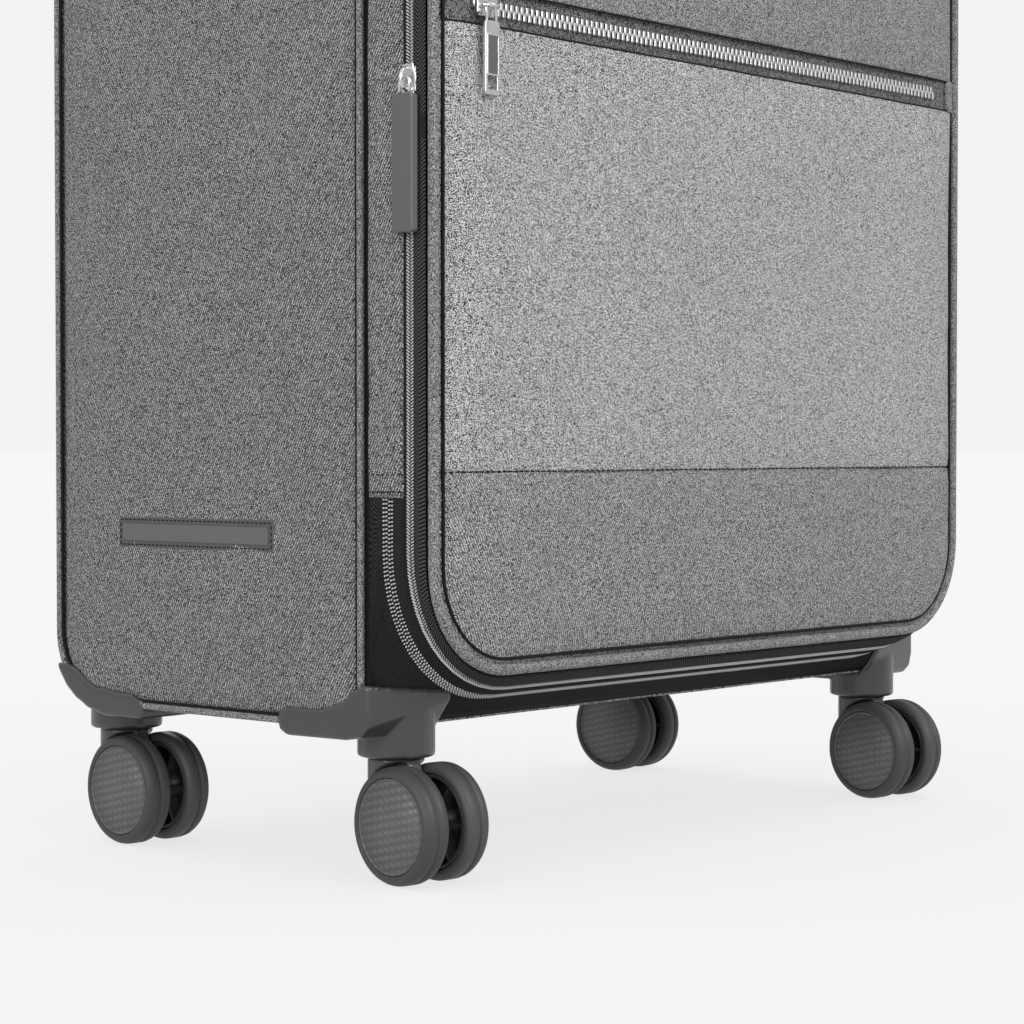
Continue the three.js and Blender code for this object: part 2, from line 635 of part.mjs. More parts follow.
const expanderY = (STATION.expanderRear.y + STATION.expanderFront.y) / 2;
sliderWithPull("expander",
  surfaceFrame([-BAG.half + STATION.expanderRear.side, expanderY, EXPANDER_SLIDER_Z], [-1, 0, 0], [0, 0, -1]),
  false, [54, 11, 3.6], rubber);
sliderWithPull("pocket",
  surfaceFrame([POCKET_SLIDER_X, lidFace - POCKET_ZIP.thick, POCKET_ZIP.z], [0, -1, 0], [0, 0, -1]),
  true, [27, 8.5, 1.8], steel);

const mainZipY = (STATION.mainZipRear.y + STATION.mainZipFront.y) / 2;
const mainZipSlope = Math.atan2(
  STATION.mainZipFront.end - STATION.mainZipRear.end, STATION.mainZipRear.y - STATION.mainZipFront.y);
const mainZipLift = 0.9; // the sliders stand on the chain
const mainZipTop = BAG.high - (STATION.mainZipRear.end + STATION.mainZipFront.end) / 2 + mainZipLift;
for (const [side, towards] of [["left", -1], ["right", 1]]) {
  sliderWithPull(`main_${side}`,
    surfaceFrame([towards * MAIN_SLIDER_X, mainZipY, mainZipTop],
      [0, -Math.sin(mainZipSlope), Math.cos(mainZipSlope)], [towards, 0, 0]),
    false, [40, 8, 2.6], rubber);
}

// ---- origin: bottom centre of the bounding box ---------------------------------------------

const bounds = new THREE.Box3().setFromObject(suitcase);
const centre = bounds.getCenter(new THREE.Vector3());
suitcase.position.set(-centre.x, -centre.y, -bounds.min.z);

export default suitcase;
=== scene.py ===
# Softside upright suitcase: the visual model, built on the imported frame.
# Meshes are worked out in millimetres from the middle of the case ("case millimetres", +Z up,
# the front facing -Y), and become metres in the row frame as each piece is made.

import json
import math

import bmesh
import bpy
import numpy as np
from mathutils import Matrix, Vector, noise


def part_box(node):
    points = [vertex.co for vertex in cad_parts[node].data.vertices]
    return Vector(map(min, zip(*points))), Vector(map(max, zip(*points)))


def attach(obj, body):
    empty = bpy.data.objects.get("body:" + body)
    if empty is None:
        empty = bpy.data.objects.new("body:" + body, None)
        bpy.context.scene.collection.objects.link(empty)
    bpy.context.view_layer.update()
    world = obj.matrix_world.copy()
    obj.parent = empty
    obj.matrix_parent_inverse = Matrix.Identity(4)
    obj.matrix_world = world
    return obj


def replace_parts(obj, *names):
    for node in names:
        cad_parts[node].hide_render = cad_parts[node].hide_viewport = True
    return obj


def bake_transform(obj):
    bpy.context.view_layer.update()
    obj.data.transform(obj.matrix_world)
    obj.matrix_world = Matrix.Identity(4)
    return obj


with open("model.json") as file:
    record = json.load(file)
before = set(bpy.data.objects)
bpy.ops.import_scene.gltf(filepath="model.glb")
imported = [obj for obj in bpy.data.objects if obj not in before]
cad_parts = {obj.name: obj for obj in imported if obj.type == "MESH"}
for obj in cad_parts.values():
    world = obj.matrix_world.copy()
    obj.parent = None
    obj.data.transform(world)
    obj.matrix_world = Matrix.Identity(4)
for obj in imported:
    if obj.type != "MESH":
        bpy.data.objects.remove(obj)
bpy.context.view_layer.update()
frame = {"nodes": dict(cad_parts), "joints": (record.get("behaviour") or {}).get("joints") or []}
scene = bpy.context.scene

# ---- camera --------------------------------------------------------------------------------------

CAMERA_PLACE = (-0.9349, -0.7896, 0.1767)
CAMERA_YAW = 0.8531
CAMERA_PITCH = -0.026
CAMERA_LENS = 90.27

camera_data = bpy.data.cameras.new("camera")
camera_data.lens = CAMERA_LENS
camera = bpy.data.objects.new("camera", camera_data)
camera.location = CAMERA_PLACE
camera.rotation_euler = (math.pi / 2 + CAMERA_PITCH, 0, -CAMERA_YAW)
scene.collection.objects.link(camera)
scene.camera = camera

# ---- the case's outline, as in the CAD -----------------------------------------------------------

MM = 0.001
BAG = {"half": 197.0, "low": 63.0, "high": 530.0, "front": -77.0, "back": 113.0}
BAG_MIDDLE = np.array([(BAG["front"] + BAG["back"]) / 2, (BAG["low"] + BAG["high"]) / 2])  # depth, height
WALL = 5.0
REAR_RADIUS = {"low": 30.0, "high": 20.0}
FRONT_CORNER = 8.0
HINGE = {"low": 156.0, "high": 437.0}

# Depth, inset at the sides, inset at the top and bottom, and corner radius, from the front back.
STATIONS = np.array([
    (-112.0, 9.0, 26.5, 39.0),
    (-109.0, 3.5, 21.0, 45.0),
    (-103.4, 2.8, 16.5, 54.0),
    (-98.8, 2.4, 14.0, 57.0),
    (-92.4, 1.8, 11.5, 60.0),
    (-85.6, 1.2, 9.5, 60.0),
    (-77.3, 0.0, 0.0, 8.0),
])

left_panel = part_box("side_panel_left")
right_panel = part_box("side_panel_right")
ORIGIN = np.array([
    (left_panel[0].x + right_panel[1].x) / 2,
    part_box("back_panel")[1].y - BAG["back"] * MM,
    0.0,
])


def to_row(points):
    """Case millimetres to metres in the row frame."""
    return np.asarray(points, float) * MM + ORIGIN


def to_case(vector):
    return (np.array(vector) - ORIGIN) / MM


def node_box(name):
    """A CAD node's lowest and highest corners, in case millimetres."""
    low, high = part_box(name)
    return to_case(low), to_case(high)


def rounded_loop(x0, x1, z0, z1, radii, corner, side):
    """A rounded rectangle from the middle of its left side anticlockwise. radii start bottom left."""
    middle = (z0 + z1) / 2
    centres = [
        (x0 + radii[0], z0 + radii[0], math.pi),
        (x1 - radii[1], z0 + radii[1], 1.5 * math.pi),
        (x1 - radii[2], z1 - radii[2], 2 * math.pi),
        (x0 + radii[3], z1 - radii[3], 2.5 * math.pi),
    ]
    corners = []
    for (x, z, start), radius in zip(centres, radii):
        turn = start + np.linspace(0, math.pi / 2, corner)
        corners.append(np.stack([x + radius * np.cos(turn), z + radius * np.sin(turn)], 1))
    stops = [np.array([[x0, middle]]), *corners, np.array([[x0, middle]])]
    loop = []
    for before, after in zip(stops, stops[1:]):
        loop.append(before)
        between = np.linspace(before[-1], after[0], side + 2)[1:-1]
        loop.append(between)
    loop.append(stops[-1])
    return np.concatenate(loop)


CORNER_STEPS = 12
SIDE_STEPS = 16


def outline(depth, out, opening=None):
    """The case's outline at a depth, moved outwards, as (x, y, z) rows. opening = (low, high)
    leaves out that stretch of the left side."""
    order = STATIONS[:, 0]
    inset_x, inset_z, radius = (np.interp(depth, order, STATIONS[:, i]) for i in (1, 2, 3))
    x1 = BAG["half"] - inset_x + out
    z0 = BAG["low"] + inset_z - out
    z1 = BAG["high"] - inset_z + out
    flat = rounded_loop(-x1, x1, z0, z1, [radius + out] * 4, CORNER_STEPS, SIDE_STEPS)
    if opening:
        first, last = SIDE_STEPS + 1, len(flat) - (SIDE_STEPS + 2)
        flat[:first, 1] = np.linspace(opening[0], flat[first, 1], first, endpoint=False)
        flat[last + 1:, 1] = np.linspace(flat[last, 1], opening[1], SIDE_STEPS + 2)[1:]
    return np.stack([flat[:, 0], np.full(len(flat), depth), flat[:, 1]], 1)


# ---- meshes --------------------------------------------------------------------------------------

def piece(name, points, faces, material, body=None, smooth=True, tags=None):
    """A mesh object from points in case millimetres. It rides on body, if that is given."""
    mesh = bpy.data.meshes.new(name)
    mesh.from_pydata(to_row(points).tolist(), [], [tuple(int(i) for i in f) for f in faces])
    if tags is not None:
        layer = mesh.attributes.new("tape", "FLOAT_VECTOR", "POINT")
        flat = np.zeros((len(points), 3), np.float32)
        flat[:, :2] = tags
        layer.data.foreach_set("vector", flat.ravel())
    for material_used in material if isinstance(material, (list, tuple)) else [material]:
        mesh.materials.append(material_used)
    mesh.polygons.foreach_set("use_smooth", [smooth] * len(mesh.polygons))
    obj = bpy.data.objects.new(name, mesh)
    scene.collection.objects.link(obj)
    if body:
        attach(obj, body)
    return obj


def grid_faces(rows, columns, wrap_rows=False, wrap_columns=False):
    i = np.arange(rows if wrap_rows else rows - 1)
    j = np.arange(columns if wrap_columns else columns - 1)
    i, j = (a.ravel() for a in np.meshgrid(i, j, indexing="ij"))
    i2, j2 = (i + 1) % rows, (j + 1) % columns
    return np.stack([i * columns + j, i * columns + j2, i2 * columns + j2, i2 * columns + j], 1)


def run_lengths(row):
    """How far along each point of a row lies."""
    return np.concatenate([[0], np.cumsum(np.linalg.norm(np.diff(row, axis=0), axis=1))])


def facing(points, faces, outward, part=2):
    """The faces, turned over if need be so that they look along outward. The face that is tried
    lies a half, a third or another part of the way through them."""
    a, b, c = (points[faces[len(faces) // part][k]] for k in (0, 1, 2))
    return faces if np.dot(np.cross(b - a, c - a), outward) > 0 else faces[:, ::-1]


def skin(name, rows, material, closed=True):
    """A band of fabric through rows of points round the case."""
    rows = [np.asarray(r) for r in rows]
    if closed:
        rows = [r[:-1] for r in rows]
    columns = len(rows[0])
    points = np.concatenate(rows)
    along = run_lengths(rows[len(rows) // 2])
    across = run_lengths(np.array([r[columns // 2] for r in rows]))
    tags = np.stack(np.meshgrid(along, across), -1).reshape(-1, 2)
    faces = grid_faces(len(rows), columns, wrap_columns=closed)
    centre = points[faces[len(faces) // 2]].mean(0)
    away = centre - np.array([0, centre[1], BAG_MIDDLE[1]])
    return piece(name, points, facing(points, faces, away), material, tags=tags)


def thicken(obj, thick, inner_material=0):
    shell = obj.modifiers.new("thickness", "SOLIDIFY")
    shell.thickness = thick * MM
    shell.offset = -1
    shell.use_even_offset = True
    shell.material_offset = inner_material
    return obj


EDGE_ANGLE = 30  # how far two faces must turn, in degrees, for their edge to be rounded


def rounded(obj, width, segments=2):
    """Welds a CAD node's or a plate's split vertices and rounds its edges."""
    weld = obj.modifiers.new("weld", "WELD")
    weld.merge_threshold = 1e-5
    bevel = obj.modifiers.new("edges", "BEVEL")
    bevel.width = width * MM
    bevel.segments = segments
    bevel.limit_method = "ANGLE"
    bevel.angle_limit = math.radians(EDGE_ANGLE)
    bevel.harden_normals = True
    return obj


class Track:
    """A line round the case with a direction along it, one across it and one out of it."""

    def __init__(self, rear, front, closed=True):
        self.closed = closed
        middle = (rear + front) / 2
        self.lengths = run_lengths(middle)
        self.middle = middle
        across = front - rear
        self.across = across / np.linalg.norm(across, axis=1)[:, None]

    def at(self, distances):
        """Places, and the directions along, across and out, at distances along the line."""
        def blend(values):
            return np.stack([np.interp(distances, self.lengths, values[:, k]) for k in range(3)], 1)

        step = 0.25
        place = blend(self.middle)
        total = self.lengths[-1]
        later = np.clip(distances + step, 0, total)
        sooner = np.clip(distances - step, 0, total)
        along = np.stack([np.interp(later, self.lengths, self.middle[:, k])
                          - np.interp(sooner, self.lengths, self.middle[:, k]) for k in range(3)], 1)
        along /= np.linalg.norm(along, axis=1)[:, None]
        across = blend(self.across)
        out = np.cross(along, across)
        out /= np.linalg.norm(out, axis=1)[:, None]
        centre = np.array([0, 0, BAG_MIDDLE[1]])
        if np.mean(np.sum(out * (place - centre) * [1, 0, 1], 1)) < 0:
            out = -out
        return place, along, across, out


def repeated(template, faces, place, along, across, out):
    """The template's points, in (along, across, out) millimetres, at every place."""
    points = (place[:, None] + template[None, :, :1] * along[:, None]
              + template[None, :, 1:2] * across[:, None] + template[None, :, 2:] * out[:, None])
    count = len(template)
    all_faces = []
    for f in faces:
        f = np.array(f)
        all_faces.extend((f[None] + count * np.arange(len(place))[:, None]).tolist())
    return points.reshape(-1, 3), all_faces


# ---- zips, cords and stitches --------------------------------------------------------------------

def beads(places, reach, width, height, slant=0.0):
    """Rounded heads of a coil's loops, at these distances from the zip's middle. Each is reach
    long across the zip and width long along it, turned by slant."""
    turn = np.linspace(0, 2 * math.pi, 8, endpoint=False)
    points, faces = [], []
    for place in places:
        first = len(points)
        for share, lift in ((1.0, 0.0), (0.8, 0.7), (0.35, 1.0)):
            for t in turn:
                a, c = width / 2 * share * math.cos(t), reach / 2 * share * math.sin(t)
                points.append((a * math.cos(slant) - c * math.sin(slant),
                               place + a * math.sin(slant) + c * math.cos(slant), lift * height))
        faces += (grid_faces(3, 8, wrap_columns=True) + first).tolist()
        faces.append(tuple(range(first + 16, first + 24)))
    return np.array(points), faces


def metal_tooth(reach, width, height):
    """One moulded tooth of the pocket zip: a bar with bevelled ends that hooks over the middle."""
    w, r = width / 2, reach
    outline_points = [(-w * 0.7, -0.55), (w * 0.7, -0.55), (w, 0.5), (w, r - 0.3),
                      (w * 0.6, r), (-w * 0.6, r), (-w, r - 0.3), (-w, 0.5)]
    count = len(outline_points)
    rows = [(a, c, 0) for a, c in outline_points] + [(a, c, height * 0.75) for a, c in outline_points]
    rows += [(a * 0.6, c * 0.86 + 0.1, height) for a, c in outline_points]
    faces = grid_faces(3, count, wrap_columns=True).tolist() + [tuple(range(2 * count, 3 * count))]
    return np.array(rows), faces


TOOTH_LIFT = 0.2


def teeth(name, track, tooth, pitch, side, body):
    """A row of a coil's loops along the track. side is +1 for its across direction and -1 for the other."""
    template, faces = tooth
    total = track.lengths[-1]
    count = int(total / pitch)
    shift = 0.25 if side > 0 else 0.75
    place, along, across, out = track.at((np.arange(count) + shift) * total / count)
    points, faces = repeated(template, faces, place + out * TOOTH_LIFT, along * side, across * side, out)
    return piece(name, points, faces, COIL, body)


def cord_ring(name, track, radius, material, body, sides=10, step=3.0):
    """Piping: a fabric-covered cord that follows the track."""
    total = track.lengths[-1]
    count = int(total / step)
    distances = np.linspace(0, total, count, endpoint=not track.closed)
    place, _, across, out = track.at(distances)
    turn = np.linspace(0, 2 * math.pi, sides, endpoint=False)
    rows = (place[:, None] + radius * np.cos(turn)[None, :, None] * across[:, None]
            + radius * np.sin(turn)[None, :, None] * out[:, None])
    faces = grid_faces(count, sides, wrap_rows=track.closed, wrap_columns=True)
    tags = np.stack(np.meshgrid(np.arange(sides) * radius * 2 * math.pi / sides, distances), -1)[..., ::-1]
    points = rows.reshape(-1, 3)
    faces = faces if faces_look_out(points, faces, place) else faces[:, ::-1]
    return piece(name, points, faces, material, body, tags=tags.reshape(-1, 2))


def faces_look_out(points, faces, place):
    """Whether a cord's first face looks away from the cord's middle."""
    a, b, c = points[faces[0][0]], points[faces[0][1]], points[faces[0][2]]
    return np.dot(np.cross(b - a, c - a), (a + c) / 2 - place[0]) > 0


STITCH = {"pitch": 3.4, "length": 2.5, "width": 0.55, "height": 0.35}


def stitches(name, places, out, body, pitch=STITCH["pitch"]):
    """A row of stitches along a line of places on a surface that looks along out."""
    places = np.asarray(places, float)
    lengths = run_lengths(places)
    count = max(int(lengths[-1] / pitch), 1)
    distances = (np.arange(count) + 0.5) * lengths[-1] / count
    at = np.stack([np.interp(distances, lengths, places[:, k]) for k in range(3)], 1)
    ahead = np.stack([np.interp(np.minimum(distances + 0.5, lengths[-1]), lengths, places[:, k])
                      - np.interp(distances - 0.5, lengths, places[:, k]) for k in range(3)], 1)
    along = ahead / np.linalg.norm(ahead, axis=1)[:, None]
    outs = np.broadcast_to(np.asarray(out, float), at.shape)
    across = np.cross(outs, along)
    across /= np.linalg.norm(across, axis=1)[:, None]
    half, w, h = STITCH["length"] / 2 * pitch / STITCH["pitch"], STITCH["width"] / 2, STITCH["height"]
    rows = []
    for share, size, lift in ((-1, 0.45, 0), (-0.6, 1, 0.8), (0, 1.1, 1), (0.6, 1, 0.8), (1, 0.45, 0)):
        a, top = half * share, h * lift
        edge, inner = w * size, w * 0.6 * size
        rows += [(a, -edge, -0.1), (a, -inner, top), (a, inner, top), (a, edge, -0.1)]
    faces = grid_faces(5, 4).tolist() + [(0, 1, 2, 3), (19, 18, 17, 16)]
    points, all_faces = repeated(np.array(rows), faces, at, along, across, outs)
    return piece(name, points, all_faces, THREAD_AND_SHADE, body)


# ---- panels --------------------------------------------------------------------------------------

def edge_rows(low, high, low_radius, high_radius, step):
    """Heights of a panel's rows: close together round its corners, then even."""
    turn = np.linspace(0, math.pi / 2, 9)
    bottom = low + low_radius * (1 - np.cos(turn))
    top = high - high_radius * (1 - np.cos(turn[::-1]))
    middle = np.linspace(bottom[-1], top[0], max(int((top[0] - bottom[-1]) / step), 1) + 1)
    return np.unique(np.concatenate([bottom, middle, top]))


class Panel:
    """A rounded rectangle in a plane, with how far each point is from its edge."""

    def __init__(self, u0, u1, v0, v1, radii):
        self.u0, self.u1, self.v0, self.v1 = u0, u1, v0, v1
        self.radii = radii  # bottom left, bottom right, top right, top left

    def span(self, v):
        """The panel's ends at height v."""
        ends = []
        for low, high in ((self.radii[0], self.radii[3]), (self.radii[1], self.radii[2])):
            short = 0.0
            if v < self.v0 + low:
                short = low - math.sqrt(max(low ** 2 - (self.v0 + low - v) ** 2, 0))
            if v > self.v1 - high:
                short = high - math.sqrt(max(high ** 2 - (v - self.v1 + high) ** 2, 0))
            ends.append(short)
        return self.u0 + ends[0], self.u1 - ends[1]

    def depth(self, u, v):
        """How far inside the edge each point lies."""
        middle_u, middle_v = (self.u0 + self.u1) / 2, (self.v0 + self.v1) / 2
        low, right = v < middle_v, u > middle_u
        radius = np.where(low, np.where(right, self.radii[1], self.radii[0]),
                          np.where(right, self.radii[2], self.radii[3]))
        q_u = np.abs(u - middle_u) - (self.u1 - self.u0) / 2 + radius
        q_v = np.abs(v - middle_v) - (self.v1 - self.v0) / 2 + radius
        outside = np.hypot(np.maximum(q_u, 0), np.maximum(q_v, 0))
        return radius - outside - np.minimum(np.maximum(q_u, q_v), 0)

    def grid(self, low=None, high=None, columns=44, step=8.0):
        """Points (u, v) in rows over the panel, or over the part of it between two heights."""
        rows = edge_rows(self.v0, self.v1, max(self.radii[:2]), max(self.radii[2:]), step)
        low = self.v0 if low is None else low
        high = self.v1 if high is None else high
        rows = rows[(rows > low + 2) & (rows < high - 2)]
        rows = np.concatenate([[low, low + 1.2], rows, [high - 1.2, high]])
        share = (1 - np.cos(np.linspace(0, math.pi, columns))) / 2
        share = 0.55 * share + 0.45 * np.linspace(0, 1, columns)
        u = np.array([a + (b - a) * share for a, b in map(self.span, rows)])
        v = np.repeat(rows[:, None], columns, 1)
        return u, v


def crown(distance, height, reach):
    """How far a padded panel stands out at a distance from its edge."""
    return height * (1 - np.exp(-np.maximum(distance, 0) / reach))


def unevenness(points, size, seed):
    """Slow, small waves in stretched fabric, -0.5 to 0.5."""
    return np.array([noise.noise(Vector(p) / size + Vector((seed, 0, 0))) for p in points])


def waves_over(u, v, size, seed):
    """The unevenness of a grid of points on a panel."""
    flat = np.column_stack([u.ravel(), v.ravel(), np.zeros(u.size)])
    return unevenness(flat, size, seed).reshape(u.shape)


def cloth_sheet(name, x, y, z, outward, material):
    """A piece through a grid of points, given as their three coordinates."""
    points = np.stack([x.ravel(), y.ravel(), z.ravel()], 1)
    return piece(name, points, facing(points, grid_faces(*x.shape), outward), material)


FILL_PRESSURE = 4.0
FILL_FRAMES = 20


def puff(obj, cap):
    """Fills out a panel that is sewn down round its edge, with a short cloth simulation.
    No point moves further than cap."""
    mesh = obj.data
    edit = bmesh.new()
    edit.from_mesh(mesh)
    held = [v.index for v in edit.verts if v.is_boundary]
    edit.free()
    group = obj.vertex_groups.new(name="held")
    group.add(held, 1.0, "REPLACE")
    cloth = obj.modifiers.new("fill", "CLOTH")
    cloth.settings.vertex_group_mass = "held"
    cloth.settings.use_pressure = True
    cloth.settings.uniform_pressure_force = FILL_PRESSURE
    cloth.settings.effector_weights.gravity = 0
    cloth.settings.tension_stiffness = 40
    cloth.settings.compression_stiffness = 40
    cloth.settings.bending_stiffness = 2
    cloth.point_cache.frame_start = 1
    cloth.point_cache.frame_end = FILL_FRAMES
    for number in range(1, FILL_FRAMES + 1):
        scene.frame_set(number)
    result = obj.evaluated_get(bpy.context.evaluated_depsgraph_get()).data
    count = len(mesh.vertices) * 3
    before, after = np.zeros(count), np.zeros(count)
    mesh.vertices.foreach_get("co", before)
    result.vertices.foreach_get("co", after)
    move = (after - before).reshape(-1, 3)
    far = np.linalg.norm(move, axis=1)
    limit = cap * MM
    move *= (limit * np.tanh(far / limit) / np.maximum(far, 1e-9))[:, None]
    mesh.vertices.foreach_set("co", before + move.ravel())
    mesh.update()
    obj.modifiers.remove(cloth)
    obj.vertex_groups.remove(group)
    scene.frame_set(1)
    return obj

# ---- materials -----------------------------------------------------------------------------------

class Value:
    """What one of a material's nodes works out. Plain arithmetic on it adds more nodes."""

    def __init__(self, look, socket):
        self.look, self.socket = look, socket

    def __add__(self, other):
        return self.look.math("ADD", self, other)

    def __radd__(self, other):
        return self.look.math("ADD", other, self)

    def __sub__(self, other):
        return self.look.math("SUBTRACT", self, other)

    def __rsub__(self, other):
        return self.look.math("SUBTRACT", other, self)

    def __mul__(self, other):
        return self.look.math("MULTIPLY", self, other)

    def __truediv__(self, other):
        return self.look.math("DIVIDE", self, other)


def grey(value):
    return (value,) * 3


class Look:
    """A material, and short calls for its nodes."""

    def __init__(self, name, roughness=0.9, metallic=0.0, **constants):
        self.material = bpy.data.materials.new(name)
        self.material.use_nodes = True
        self.nodes = self.material.node_tree.nodes
        self.links = self.material.node_tree.links
        self.shader = self.nodes["Principled BSDF"]
        self.set("Roughness", roughness)
        self.set("Metallic", metallic)
        for key, value in constants.items():
            self.set(key.replace("_", " "), value)

    def put(self, value, socket):
        if isinstance(value, Value):
            self.links.new(value.socket, socket)
        elif isinstance(value, tuple) and len(value) == 3:
            socket.default_value = (*value, 1)
        else:
            socket.default_value = value

    def set(self, key, value):
        """One of the shader's own inputs."""
        self.put(value, self.shader.inputs[key])

    def made(self, kind, values=(), output=0, sockets=None, **settings):
        """A new node with these settings and input values, as the value that it gives."""
        node = self.nodes.new(kind)
        for key, value in settings.items():
            setattr(node, key, value)
        for value, socket in zip(values, sockets(node) if sockets else node.inputs):
            self.put(value, socket)
        return Value(self, node.outputs[output])

    def math(self, operation, *values):
        return self.made("ShaderNodeMath", values, operation=operation)

    def sine(self, value, wavelength):
        return self.math("SINE", value * (2 * math.pi / wavelength))

    def mix(self, factor, a, b):
        """a where factor is 0 and b where it is 1, for plain numbers."""
        return self.made("ShaderNodeMix", (factor, a, b),
                         sockets=lambda node: node.inputs[:1] + node.inputs[2:4])

    def xyz(self, x=0.0, y=0.0, z=0.0):
        return self.made("ShaderNodeCombineXYZ", (x, y, z))

    def split(self, vector):
        node = self.nodes.new("ShaderNodeSeparateXYZ")
        self.put(vector, node.inputs[0])
        return [Value(self, socket) for socket in node.outputs[:3]]

    def place(self):
        """The point on the piece, in millimetres."""
        point = self.made("ShaderNodeTexCoord", output="Object")
        return self.made("ShaderNodeVectorMath", (point, 1 / MM), operation="SCALE",
                         sockets=lambda node: (node.inputs[0], node.inputs["Scale"]))

    def noise(self, vector, scale, detail=2.0, roughness=0.5):
        names = ("Vector", "Scale", "Detail", "Roughness")
        return self.made("ShaderNodeTexNoise", (vector, scale, detail, roughness), "Fac",
                         lambda node: [node.inputs[name] for name in names])

    def ramp(self, value, *stops):
        """Greys at places from 0 to 1 along value."""
        node = self.nodes.new("ShaderNodeValToRGB")
        elements = node.color_ramp.elements
        while len(elements) < len(stops):
            elements.new(0.5)
        for element, (at, tone) in zip(elements, stops):
            element.position = at
            element.color = (*grey(tone), 1)
        self.put(value, node.inputs[0])
        return Value(self, node.outputs[0])

    def bump(self, height, distance, strength):
        names = ("Height", "Distance", "Strength")
        self.set("Normal", self.made("ShaderNodeBump", (height, distance * MM, strength),
                                     sockets=lambda node: [node.inputs[name] for name in names]))

    def colour(self, tone, factor):
        """A grey made darker or lighter by a number that varies over the piece."""
        tint = self.made("ShaderNodeCombineColor", (factor,) * 3)
        tinted = self.made("ShaderNodeMix", (1, tone, tint), 2, data_type="RGBA", blend_type="MULTIPLY",
                           sockets=lambda node: node.inputs[:1] + node.inputs[6:8])
        self.set("Base Color", tinted)


TWILL_LINE = 2.6  # from one steep diagonal line to the next, up the fabric
FACING = 0.72  # how squarely a piece faces sideways or up before the weave turns with it


def cloth_plane(look):
    """Coordinates across and up the fabric, by which way the piece faces."""
    x, y, z = look.split(look.place())
    n_x, _, n_z = look.split(look.made("ShaderNodeTexCoord", output="Normal"))
    sideways, upright = (look.math("GREATER_THAN", look.math("ABSOLUTE", n), FACING) for n in (n_x, n_z))
    return look.mix(sideways, x, y), look.mix(upright, z, y)


def ridge(position):
    """A round ridge over each whole step of position."""
    centred = position.look.math("FRACT", position) * 2.0 - 1.0
    return 1.0 - centred * centred


def alternate(look, a, b, period):
    """1 and 0 by turns over whole steps of a and b, stepping sideways from row to row."""
    step = look.math("FLOORED_MODULO", look.math("FLOOR", a) + look.math("FLOOR", b), period)
    return look.math("LESS_THAN", step, period / 2)


def woven(name, yarn, dark, pale, twill=True, slub=0.5, speckle=0.5, rib=0.0, relief=0.3, contrast=8.0):
    """Melange fabric. Each yarn has its own shade, which changes slowly along it, and is flecked
    with darker and paler fibres."""
    look = Look(name, roughness=0.95, Sheen_Weight=0.1, Sheen_Roughness=0.5, Specular_IOR_Level=0.12)
    u, v = cloth_plane(look)
    wobble = (look.noise(look.xyz(u, v), 0.05, 1.0) - 0.5) * 2.0
    a, b = (u + wobble) / yarn, (v + wobble) / yarn
    over = alternate(look, a, b, 4.0 if twill else 2.0)
    warp = look.noise(look.xyz(look.math("FLOOR", a) * 5.17, v * slub), 1.0, 1.0)
    weft = look.noise(look.xyz(u * slub, look.math("FLOOR", b) * 5.17, 9.0), 1.0, 1.0)
    fleck = look.noise(look.xyz((u + v) * 0.55, (u - v) * 1.15, 3.0), 1.45 / yarn, 0.0)
    shade = (look.mix(over, weft, warp) - 0.5) * (1 - speckle) + (fleck - 0.5) * speckle
    height = look.mix(over, ridge(b), ridge(a))
    if rib:
        height = height + look.sine(u * 2.0 + v, TWILL_LINE) * rib
    cloud = look.noise(look.xyz(u, v, 1.0), 0.012, 2.0)
    # The colour is darkened in the hollows between yarns and along the twill's diagonal ribs: painted shade
    # of the weave's relief. cloud varies it slowly at random.
    shading = (height * relief + (1 - relief * 0.67)) * (cloud * 0.16 + 0.92)
    middle = dark + (pale - dark) * 0.42
    look.colour(look.ramp(shade * contrast + 0.5, (0.0, dark), (0.5, middle), (1.0, pale)), shading)
    look.bump(height, 0.2, 0.9)
    return look.material


def tape_look(name, value, chevron, rib):
    """Woven tape with a herringbone of the given width."""
    look = Look(name, Specular_IOR_Level=0.12)
    along, across, _ = look.split(look.made("ShaderNodeAttribute", output="Vector", attribute_name="tape"))
    fold = look.math("FRACT", across / chevron) - 0.5
    lines = look.sine(along + look.math("ABSOLUTE", fold) * (chevron * 1.1), rib)
    height = lines * 0.5 + look.sine(along, 0.6) * 0.2
    # The tape's colour is darkened in the hollows of its herringbone and fine ribs, painted shade of the
    # weave's relief, and varied at random in tone.
    tone = height * 2.6 + (0.4 + look.noise(look.place(), 1.4, 1.0) * 1.2)
    look.colour(grey(value), look.math("MAXIMUM", tone, 0.06))
    look.bump(height, 0.2, 0.8)
    return look.material


def moulded(name, value, roughness, grain=0.5, depth=0.05, coat=0.0, shine=0.5):
    """Moulded plastic or rubber with a fine spark-eroded grain, paler along its sharp edges as a painted
    highlight.
    """
    look = Look(name, Coat_Weight=coat, Coat_Roughness=0.25, Specular_IOR_Level=shine)
    place = look.place()
    fine = look.noise(place, 1 / grain, 2.0, 0.6)
    cloud = look.noise(place, 0.05, 3.0)
    # Sharp edges, found by pointiness, are made paler: a painted highlight along them.
    edge_highlight = look.ramp(look.made("ShaderNodeNewGeometry", output="Pointiness"), (0.51, 0.0), (0.6, 1.0))
    look.colour(grey(value), fine * 0.16 + cloud * 0.18 + 0.83 + edge_highlight * 0.6)
    look.set("Roughness", fine * 0.12 + cloud * 0.14 + (roughness - 0.13))
    look.bump(fine, depth, 0.6)
    return look.material


def metal(name, value, roughness, stretch=(1.0, 1.0, 0.06)):
    """Plated or anodised metal with fine drawn lines along one direction."""
    look = Look(name, metallic=1.0)
    parts = look.split(look.place())
    lines = look.noise(look.xyz(*(part * (share * 3) for part, share in zip(parts, stretch))), 1.0, 3.0, 0.6)
    cloud = look.noise(look.place(), 0.08, 2.0)
    look.colour(grey(value), 0.86 + lines * 0.28)
    look.set("Roughness", lines * 0.2 + cloud * 0.12 + (roughness - 0.16))
    look.bump(lines, 0.02, 0.5)
    return look.material


